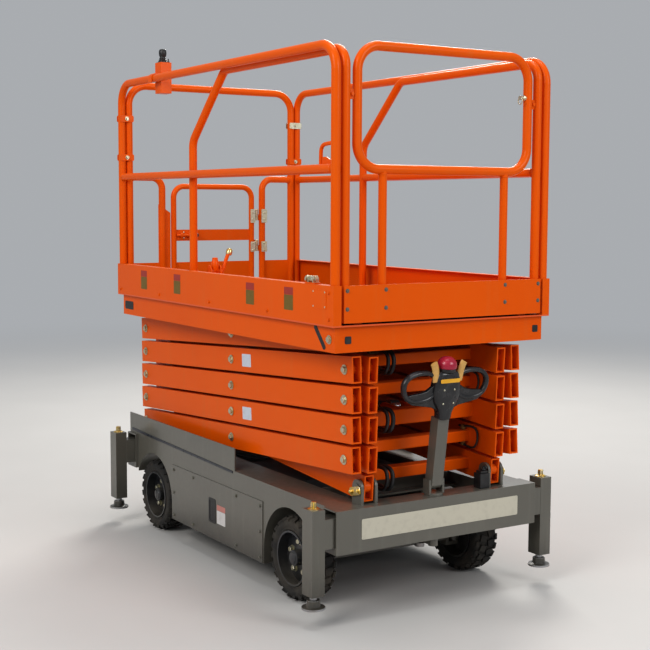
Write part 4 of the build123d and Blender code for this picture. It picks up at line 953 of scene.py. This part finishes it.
POST_FOOT, EXTENSION_FOOT = DECK_TOP + 2, EXTENSION_TOP + 2
TUBE_REACH = 19.5
DOWN = (0, 0, -1)
beads = bmesh.new()
for side in (-1, 1):
    for end in (-1, 1):
        weld_round(beads, (end * (RAIL_X - TUBE_REACH), side * RAIL_Y, MID_Z), (end, 0, 0), 18)
        weld_round(beads, (end * RAIL_X, side * RAIL_Y, POST_FOOT), DOWN, 19)
    weld_round(beads, (-RAIL_X, side * (REAR_POST_Y - TUBE_REACH), MID_Z), (0, side, 0), 18)
    weld_round(beads, (-RAIL_X, side * REAR_POST_Y, POST_FOOT), DOWN, 19)
    weld_round(beads, (-RAIL_X, side * 304, POST_FOOT), DOWN, 18)
stand("rail_welds", beads, "platform", "orange_paint", orange)
beads = bmesh.new()
for side in (-1, 1):
    weld_round(beads, (EXT_POST_X - TUBE_REACH, side * EXT_Y, MID_Z), (1, 0, 0), 18)
    weld_round(beads, (EXT_REAR_X + TUBE_REACH, side * EXT_Y, MID_Z), (-1, 0, 0), 18)
    weld_round(beads, (EXT_REAR_X, side * EXT_Y, EXTENSION_FOOT), DOWN, 19)
    weld_round(beads, (EXT_POST_X, side * EXT_Y, EXTENSION_FOOT), DOWN, 19)
    weld_round(beads, (EXT_POST_X, side * 308, EXTENSION_FOOT), DOWN, 17)
    weld_round(beads, (EXT_POST_X, side * 308, MID_Z - 20), (0, 0, 1), 17)
stand("extension_welds", beads, "extension", "orange_paint", orange)

LINK_Y, LINK_Z = (RAIL_Y + REAR_POST_Y) / 2, (1912, 2112)
LINK_BOLT = bolt(7.5, 5.5, 10.5, 1.8)
for side, hand in SIDES:
    for z in LINK_Z:
        links = bmesh.new()
        for face in (-1, 1):
            outlined(links, rounded_sheet(76, 34, 8),
                     (-RAIL_X + face * 19.4, side * LINK_Y, z),
                     (0, 1, 0), (face, 0, 0), 3)
        bare = side > 0 and z == LINK_Z[1]
        stand(f"rail_link_{hand}_{z}", links, "platform", "zinc" if bare else "orange_paint",
              zinc if bare else orange, bevel=0.7)
spots = [((-RAIL_X + 22.4, side * LINK_Y, z), (1, 0, 0), z) for side in (-1, 1) for z in LINK_Z]
set_out("link_bolts", hex_bolts, LINK_BOLT, spots, "platform", zinc)

grab = bmesh.new()
run_tube(grab, smooth_way([(856, -EXT_Y, MID_Z + 14), (856, -EXT_Y, 1860), (859, -EXT_Y, 1890),
                           (874, -EXT_Y, 1906), (905, -EXT_Y, 1911), (960, -EXT_Y, 1913),
                           (1016, -EXT_Y, 1914)], 6), 8, sides=14)
outlined(grab, [(0, 0), (96, 0), (96, 8), (30, 34), (0, 34)], (868, -EXT_Y + 2, MID_Z + 15),
         (1, 0, 0), (0, -1, 0), 4)
stand("corner_grab", grab, "extension", "orange_paint", orange, bevel=0.5)


# Gate hardware. Both hinges have zinc leaves, one on the post and one on the gate, with two
# screws in each, and a sliding bolt with a black knob is screwed to the gate's bar.

HINGE_Y, KNUCKLE = 266.0, 12.6
for name, body, y, low_z, high_z, tube, wide in (
        ("post", "platform", 308.0, -16.0, 16.0, 18.0, 36),
        ("gate", "gate", 238.0, 17.4, 45.0, 15.0, 30)):
    leaves = bmesh.new()
    spots = []
    for z, tall in ((1430, 58), (1600, 76)):
        outlined(leaves, rounded_sheet(wide, tall, 5), (-RAIL_X + tube + 0.2, y, z + 8),
                 (0, 1, 0), (1, 0, 0), 3)
        spots += [((-RAIL_X + tube + 3.2, y, z + 8 + dz), (1, 0, 0), dz) for dz in (-19, 19)]
        turned(leaves, (-RAIL_X, HINGE_Y, z + low_z), (0, 0, 1),
               [(0, 0), (KNUCKLE - 1, 0), (KNUCKLE, 1), (KNUCKLE, high_z - low_z - 1),
                (KNUCKLE - 1, high_z - low_z), (0, high_z - low_z)], sides=24)
    stand(f"hinge_leaves_{name}", leaves, body, "zinc", zinc, bevel=0.7)
    set_out(f"hinge_screws_{name}", round_heads, {"Radius": 5.2, "Rise": 0.5}, spots, body,
            zinc)

slide = bmesh.new()
BAR_X, BOLT_Z = -RAIL_X + 3.2, 1505
outlined(slide, rounded_sheet(132, 46, 6), (BAR_X, -160, BOLT_Z), (0, 1, 0), (1, 0, 0), 3)
turned(slide, (BAR_X + 11, -226, BOLT_Z), (0, 1, 0),
       [(0, 0), (6, 1), (7, 4), (7, 122), (6, 125), (0, 126)], sides=18)
for y in (-204, -156):
    outlined(slide, [(-14, 0), (14, 0), (12, 14), (6, 20), (-6, 20), (-12, 14)],
             (BAR_X + 2, y, BOLT_Z), (0, 0, 1), (0, 1, 0), 12)
outlined(slide, rounded_sheet(30, 22, 3), (BAR_X + 2, -117, BOLT_Z), (0, 1, 0), (1, 0, 0), 16.6,
         1)
turned(slide, (BAR_X + 18, -117, BOLT_Z), (1, 0, 0),
       [(0, 0), (5, 0), (5, 12), (9, 14), (10, 18), (8, 22), (0, 22)], sides=18, colour=1)
stand("gate_bolt", slide, "gate", "orange_paint", orange, black_plastic, bevel=0.5)
set_out("gate_bolt_screws", round_heads, {"Radius": 5.0, "Rise": 0.5},
        [((BAR_X + 2.6, y, z), (1, 0, 0), 0.0) for y in (-180, -138)
         for z in (BOLT_Z - 16, BOLT_Z + 16)],
        "gate", zinc)


# Catches of the extension. A lever with a yellow cap at its rear right corner locks the
# sliding deck, a spring plunger sits on the front of the right toe board, and a ring pin
# locks the front loop on its left.

lever = bmesh.new()
LEVER_X, LEVER_FOOT = -276, 1225
bar(lever, (LEVER_X - 30, -412, EXTENSION_TOP + 0.2), (LEVER_X + 30, -338, LEVER_FOOT))
for y in (-404, -352):
    outlined(lever, [(-28, 0), (28, 0), (26, 92), (20, 142), (8, 156), (-8, 156), (-20, 142),
                     (-26, 92)], (LEVER_X, y, LEVER_FOOT), (1, 0, 0), (0, -1, 0), 6)
run_tube(lever, smooth_way([(LEVER_X, -398, 1340), (LEVER_X, -372, 1342),
                            (LEVER_X - 1, -346, 1346), (LEVER_X - 3, -330, 1366),
                            (LEVER_X - 5, -318, 1400), (LEVER_X - 7, -304, 1432)], 6), 9,
         sides=14)
turned(lever, (LEVER_X, -378, 1352), (0, 0, 1),
       [(0, 0), (17, 0), (19, 4), (19, 44), (14, 52), (13, 64), (0, 66)], sides=24)
turned(lever, (LEVER_X, -402, 1352), (0, 1, 0), [(0, 0), (13, 0), (13, 46), (0, 46)], sides=24)
turned(lever, (LEVER_X - 8, -301, 1428), (-0.05, 0.32, 1),
       [(0, 0), (13, 0), (15, 5), (15, 24), (11, 31), (0, 33)], sides=20, colour=1)
stand("extension_lever", lever, "extension", "orange_paint", orange, yellow_zinc, bevel=0.9)

PLUNGER_Y, PLUNGER_Z, PLUNGER_FOOT = -531, 1378, 1365
plunger = bmesh.new()
bar(plunger, (838, -547, 1360.2), (914, -516, PLUNGER_FOOT), 1)
turned(plunger, (842, PLUNGER_Y, PLUNGER_Z), (1, 0, 0),
       [(0, 0), (6, 0), (6, 14), (12, 15), (12, 44), (9, 46), (9, 64), (0, 65)], sides=20)
for x in (856, 892):
    outlined(plunger, [(-14, 0), (14, 0), (14, 18), (8, 27), (-8, 27), (-14, 18)],
             (x, PLUNGER_Y, PLUNGER_FOOT), (0, 1, 0), (1, 0, 0), 7)
turned(plunger, (828, PLUNGER_Y, PLUNGER_Z), (1, 0, 0),
       [(0, 0), (11, 1), (14, 5), (14, 12), (9, 14), (0, 14)], sides=20)
stand("deck_plunger", plunger, "platform", "zinc", zinc, orange, bevel=0.6)

RING_Y, RING_Z, RING_RADIUS, RING_POINTS = 414.0, 2121.0, 13, 20
pin = bmesh.new()
turned(pin, (EXT_POST_X, RING_Y, RING_Z), (0, -1, 0),
       [(0, 0), (12, 0), (12, 7), (9, 9), (7, 10), (7, 22), (9, 24), (9, 28), (0, 29)], sides=20)
angles = [2 * pi * at / RING_POINTS for at in range(RING_POINTS)]
ring = [Vector((EXT_POST_X + RING_RADIUS * cos(angle), RING_Y - 25,
                RING_Z - RING_RADIUS + RING_RADIUS * sin(angle))) for angle in angles]
run_tube(pin, ring, 2.4, sides=8, closed=True, flat_way=(0, 1, 0))
stand("ring_pin", pin, "extension", "zinc", zinc)
for side, hand in SIDES:
    set_out(f"ear_bolt_{hand}", hex_bolts, LINK_BOLT,
            [((EXT_POST_X + 4, side * 457, 2096), (1, 0, 0), 0.3)], "extension",
            orange)


# Platform control box. A folded orange case hangs on the top rail by a saddle. Its black
# fascias carry a mushroom stop on a yellow disc, two toggles and a stick with gaiter and ball.

box_low, box_high = (Vector(corner) * 1000 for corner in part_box("control_box"))
CASE_TOP, RAIL_Z = 2364.0, 2286.0
CASE_X, CASE_HALF = box_high.x - 33.0, 33.0
middle_y = (box_low.y + box_high.y) / 2
case = bmesh.new()
bar(case, (CASE_X - CASE_HALF, box_low.y + 2, box_low.z),
    (CASE_X + CASE_HALF, box_high.y, CASE_TOP))
for z in (2241, 2330):
    outlined(case, [(-10, 0), (44, 0), (44, 5), (-10, 5)], (CASE_X - 20, box_high.y, z),
             (1, 0, 0), (0, 1, 0), 2)
saddle = []
for reach, turn_back in ((19.6, 1), (23.6, -1)):
    arc = [(reach * cos(radians(angle)), reach * sin(radians(angle)))
           for angle in range(0, 181, 15)]
    arc = [(reach, -16)] + arc + [(-reach, -22)]
    saddle += arc[::turn_back]
outlined(case, saddle, (CASE_X - 19, -RAIL_Y, RAIL_Z), (0, 1, 0), (1, 0, 0), 38)
control_case = stand("control_case", case, "platform", "orange_paint", orange, bevel=3.0,
                     segments=3)
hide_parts("control_box")
fascia = bmesh.new()
outlined(fascia, rounded_sheet(56, 50, 5), (CASE_X, middle_y, CASE_TOP - 0.4), (1, 0, 0),
         (0, 0, 1), 2.4)
outlined(fascia, rounded_sheet(54, 110, 6), (CASE_X, box_high.y - 0.4, 2287), (1, 0, 0),
         (0, 1, 0), 2.4)
turned(fascia, (CASE_X - 4, middle_y, CASE_TOP + 1.6), (0, 0, 1),
       [(0, 0), (23, 0), (23, 5), (19, 8), (20.5, 12), (16, 15), (17.5, 19), (14.5, 23),
        (14, 27), (17.5, 33), (19, 45), (18.5, 56), (15, 62.5), (8, 65), (0, 65.4)], sides=32)
for ahead, beside in ((20, -17), (24, 17)):
    turned(fascia, (CASE_X + ahead, middle_y + beside, CASE_TOP + 2), (0, 0, 1),
           [(0, 0), (6, 0), (6, 3), (3, 4), (2.4, 13), (3.2, 16), (0, 17)], sides=16)
stand("control_fascia", fascia, "platform", "black_plastic", black_plastic, bevel=0.6)
STOP_Z = 2312
stop = bmesh.new()
turned(stop, (CASE_X, box_high.y + 2, STOP_Z), (0, 1, 0), [(0, 0), (21, 0), (21, 2), (0, 2.4)],
       sides=28, colour=1)
turned(stop, (CASE_X, box_high.y + 4, STOP_Z), (0, 1, 0),
       [(0, 0), (8, 0), (8, 8), (15, 9), (16, 13), (13, 17), (0, 18)], sides=28)
red_plastic = moulded_plastic("red plastic", (0.34, 0.018, 0.045, 1), 0.24)
yellow_plastic = moulded_plastic("yellow plastic", (0.74, 0.38, 0.02, 1), 0.36)
stand("control_stop", stop, "platform", "red_plastic", red_plastic, yellow_plastic, bevel=0.5)


# Towing tiller. A square tube carries a moulded black head with two looped grips, a yellow
# band, two tan levers and a red dome. A lead runs down its back in three clips.

coat_nodes(graphite, "tiller_arm")
LEAN, MIDDLE_AHEAD = radians(7.7), 14.0
TILLER_X, TILLER_PIVOT_Z = 981.5, 512.0
AHEAD = Vector((cos(LEAN), 0, -sin(LEAN)))
UP_TILLER = Vector((sin(LEAN), 0, cos(LEAN)))


def on_tiller(y, height, ahead=MIDDLE_AHEAD):
    """A point of the tiller from its pivot: across, up it and ahead of its middle."""
    return Vector((TILLER_X, y, TILLER_PIVOT_Z)) + UP_TILLER * height + AHEAD * ahead


def bulging_ring(form, half_width, half_depth, height, sides=40, power=0.62):
    """One rounded-square ring of the moulded body."""
    ring = []
    for at in range(sides):
        across, along = cos(2 * pi * at / sides), sin(2 * pi * at / sides)
        y = half_width * abs(across) ** power * (1 if across > 0 else -1)
        ahead = half_depth * abs(along) ** power * (1 if along > 0 else -1)
        ring.append(form.verts.new(on_tiller(y, height, MIDDLE_AHEAD + ahead)))
    return ring


head = bmesh.new()
lofted(head, [bulging_ring(head, *sizes) for sizes in
              ((26, 24, 288), (30, 27, 290), (31.5, 28, 300), (34, 28.5, 318), (46, 29, 340),
               (62, 30, 366), (69, 31, 398), (67, 31, 432), (60, 30, 462), (54, 28.5, 480),
               (48, 25, 489), (41, 20, 492))])
for side in (-1, 1):
    loop = [(58, 468), (92, 485), (140, 488), (184, 477), (209, 450), (209, 416), (192, 388),
            (154, 373), (104, 374), (66, 392), (54, 430)]
    run_tube(head, smooth_way([on_tiller(side * y, height) for y, height in loop], 6, True),
             11.5, sides=16, closed=True, flat=1.25, flat_way=AHEAD)
    web = [(0, 322), (34, 326), (70, 342), (116, 350), (166, 358), (192, 374), (198, 396),
           (172, 402), (130, 405), (98, 412), (72, 430), (40, 446), (0, 446)]
    lofted(head, [[head.verts.new(on_tiller(side * y, height, ahead)) for y, height in web]
                  for ahead in (5.0, 23.0)])
grip_plastic = moulded_plastic("grip plastic", (0.018, 0.018, 0.020, 1), 0.26)
tiller_head = stand("tiller_grips", head, "tiller", "black_plastic", grip_plastic, bevel=4.0,
                    segments=3, smooth=45)
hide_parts("tiller_head")

band = bmesh.new()
outlined(band, rounded_sheet(98, 17, 5), on_tiller(0, 456, MIDDLE_AHEAD + 29.6), (0, 1, 0),
         AHEAD, 3.0)
for side in (-1, 1):
    paddle = [on_tiller(side * y, height, 24) for y, height in
              ((58, 450), (61, 472), (65, 496), (71, 516), (78, 530))]
    run_tube(band, smooth_way(paddle, 5), 8, sides=16, flat=2.1, flat_way=(0, 1, 0), colour=1)
lever_tan = moulded_plastic("lever tan", (0.56, 0.33, 0.10, 1), 0.4)
stand("tiller_band", band, "tiller", "black_plastic", yellow_plastic, lever_tan, bevel=1.0)

dome = bmesh.new()
turned(dome, on_tiller(0, 489, 12), UP_TILLER,
       [(0, 0), (37, 0), (39, 3), (39, 12), (36, 16), (0, 16)], sides=40, colour=1)
turned(dome, on_tiller(0, 503, 12), UP_TILLER,
       [(0, 0), (37, 0), (40.6, 3), (41.5, 9), (41, 18), (38, 28), (31.5, 37), (22, 43.6),
        (11, 47.4), (0, 48.2)], sides=44)
tiller_dome = stand("tiller_dome", dome, "tiller", "red_plastic", red_plastic, black_plastic)
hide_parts("tiller_button")

spots = [(on_tiller(y, height, MIDDLE_AHEAD + 30.4), AHEAD, 0.0)
         for y in (-26, 26) for height in (360, 418)]
set_out("tiller_screws", round_heads, {"Radius": 4.6, "Rise": 0.5}, spots, "tiller", zinc)
lead = bmesh.new()
run_tube(lead, smooth_way([on_tiller(18, 286, -22), on_tiller(18, 270, -31),
                           on_tiller(16, 200, -31), on_tiller(14, 90, -31),
                           on_tiller(12, 40, -31), on_tiller(10, 26, -25)]), 5.5)
for height in (250, 150, 60):
    outlined(lead, rounded_sheet(26, 12, 3), on_tiller(15, height, -30), (0, 1, 0), -AHEAD, 8)
stand("tiller_lead", lead, "tiller", "black_plastic", hose_rubber, bevel=0.6)


# Studio. A pale floor that fades into a grey backdrop, four soft lights, and the camera at the
# height and the distance that the scale of the lift was read from.

BACKDROP, GLOW = (0.86, 0.89, 0.93, 1), 0.42
FLOOR_REACH, FADE_START, FADE_LENGTH = 200.0, 3.5, 9.0
floor_mesh = bpy.data.meshes.new("studio_floor")
floor_mesh.from_pydata([(x * FLOOR_REACH, y * FLOOR_REACH, 0)
                        for x, y in ((-1, -1), (1, -1), (1, 1), (-1, 1))], [], [(0, 1, 2, 3)])
floor = put_in_scene("studio_floor", floor_mesh)
material, shader, place = begin_finish("studio floor")
cloud = place.noise(1.3, 4.0)
end_finish(shader, place, {"Base Color": cloud.mixed((0.50, 0.49, 0.475, 1),
                                                     (0.55, 0.54, 0.525, 1)),
                           "Roughness": 0.75 + cloud * 0.1})
away = place.node("ShaderNodeVectorMath", {"operation": "LENGTH"}, {0: place}, "Value")
away = ((away - FADE_START) / FADE_LENGTH).held()
backdrop = place.node("ShaderNodeEmission", {}, {"Color": BACKDROP, "Strength": GLOW})
joint = place.node("ShaderNodeMixShader", {}, {0: away * away * (3 - 2 * away),
                                               1: Wire(place.tree, shader.outputs["BSDF"]),
                                               2: backdrop})
output = next(node for node in place.tree.nodes if node.type == "OUTPUT_MATERIAL")
place.tree.links.new(joint.socket, output.inputs["Surface"])
floor_mesh.materials.append(material)

world = bpy.data.worlds.new("studio")
world.use_nodes = True
background = world.node_tree.nodes["Background"]
background.inputs["Color"].default_value = BACKDROP
background.inputs["Strength"].default_value = GLOW
bpy.context.scene.world = world
bpy.context.scene.view_settings.view_transform = "Standard"
bpy.context.scene.view_settings.look = "Medium High Contrast"


def soft_light(name, place, target, size, power, colour=(1, 1, 1)):
    """A large square lamp that looks at a point."""
    lamp = bpy.data.lights.new(name, "AREA")
    lamp.energy = power
    lamp.size = size
    lamp.color = colour
    holder = put_in_scene(name, lamp)
    holder.location = place
    way = Vector(target) - Vector(place)
    holder.rotation_euler = way.to_track_quat("-Z", "Y").to_euler()


soft_light("key", (2.5, -7.0, 5.5), (0, 0, 1.0), size=4.0, power=315, colour=(1.0, 0.98, 0.95))
soft_light("front", (7.5, 2.5, 4.5), (0, 0, 1.2), size=3.5, power=205)
soft_light("top", (0.3, 0.0, 11.0), (0.3, 0, 1.0), size=4.0, power=300)
soft_light("back", (-5.0, 4.5, 6.5), (0, 0, 1.4), size=3.0, power=400, colour=(1.0, 0.97, 0.92))

SENSOR, FOCAL_PIXELS, PICTURE_PIXELS = 36.0, 1255.0, 650.0
lens = bpy.data.cameras.new("camera")
lens.lens = SENSOR * FOCAL_PIXELS / PICTURE_PIXELS
lens.sensor_width = SENSOR
lens.shift_x = 0.5 / PICTURE_PIXELS
lens.clip_end = 100.0
camera = put_in_scene("camera", lens)
yaw, pitch, roll = 0.559, 0.0956, 0.0041
forward = Vector((-cos(yaw) * cos(pitch), sin(yaw) * cos(pitch), -sin(pitch)))
right = forward.cross(Vector((0, 0, 1))).normalized()
upward = right.cross(forward)
right, upward = (right * cos(roll) + upward * sin(roll), upward * cos(roll) - right * sin(roll))
camera.matrix_world = Matrix.Translation((5.118, -3.13, 1.672)) @ Matrix(
    (right, upward, -forward)).transposed().to_4x4()
bpy.context.scene.camera = camera
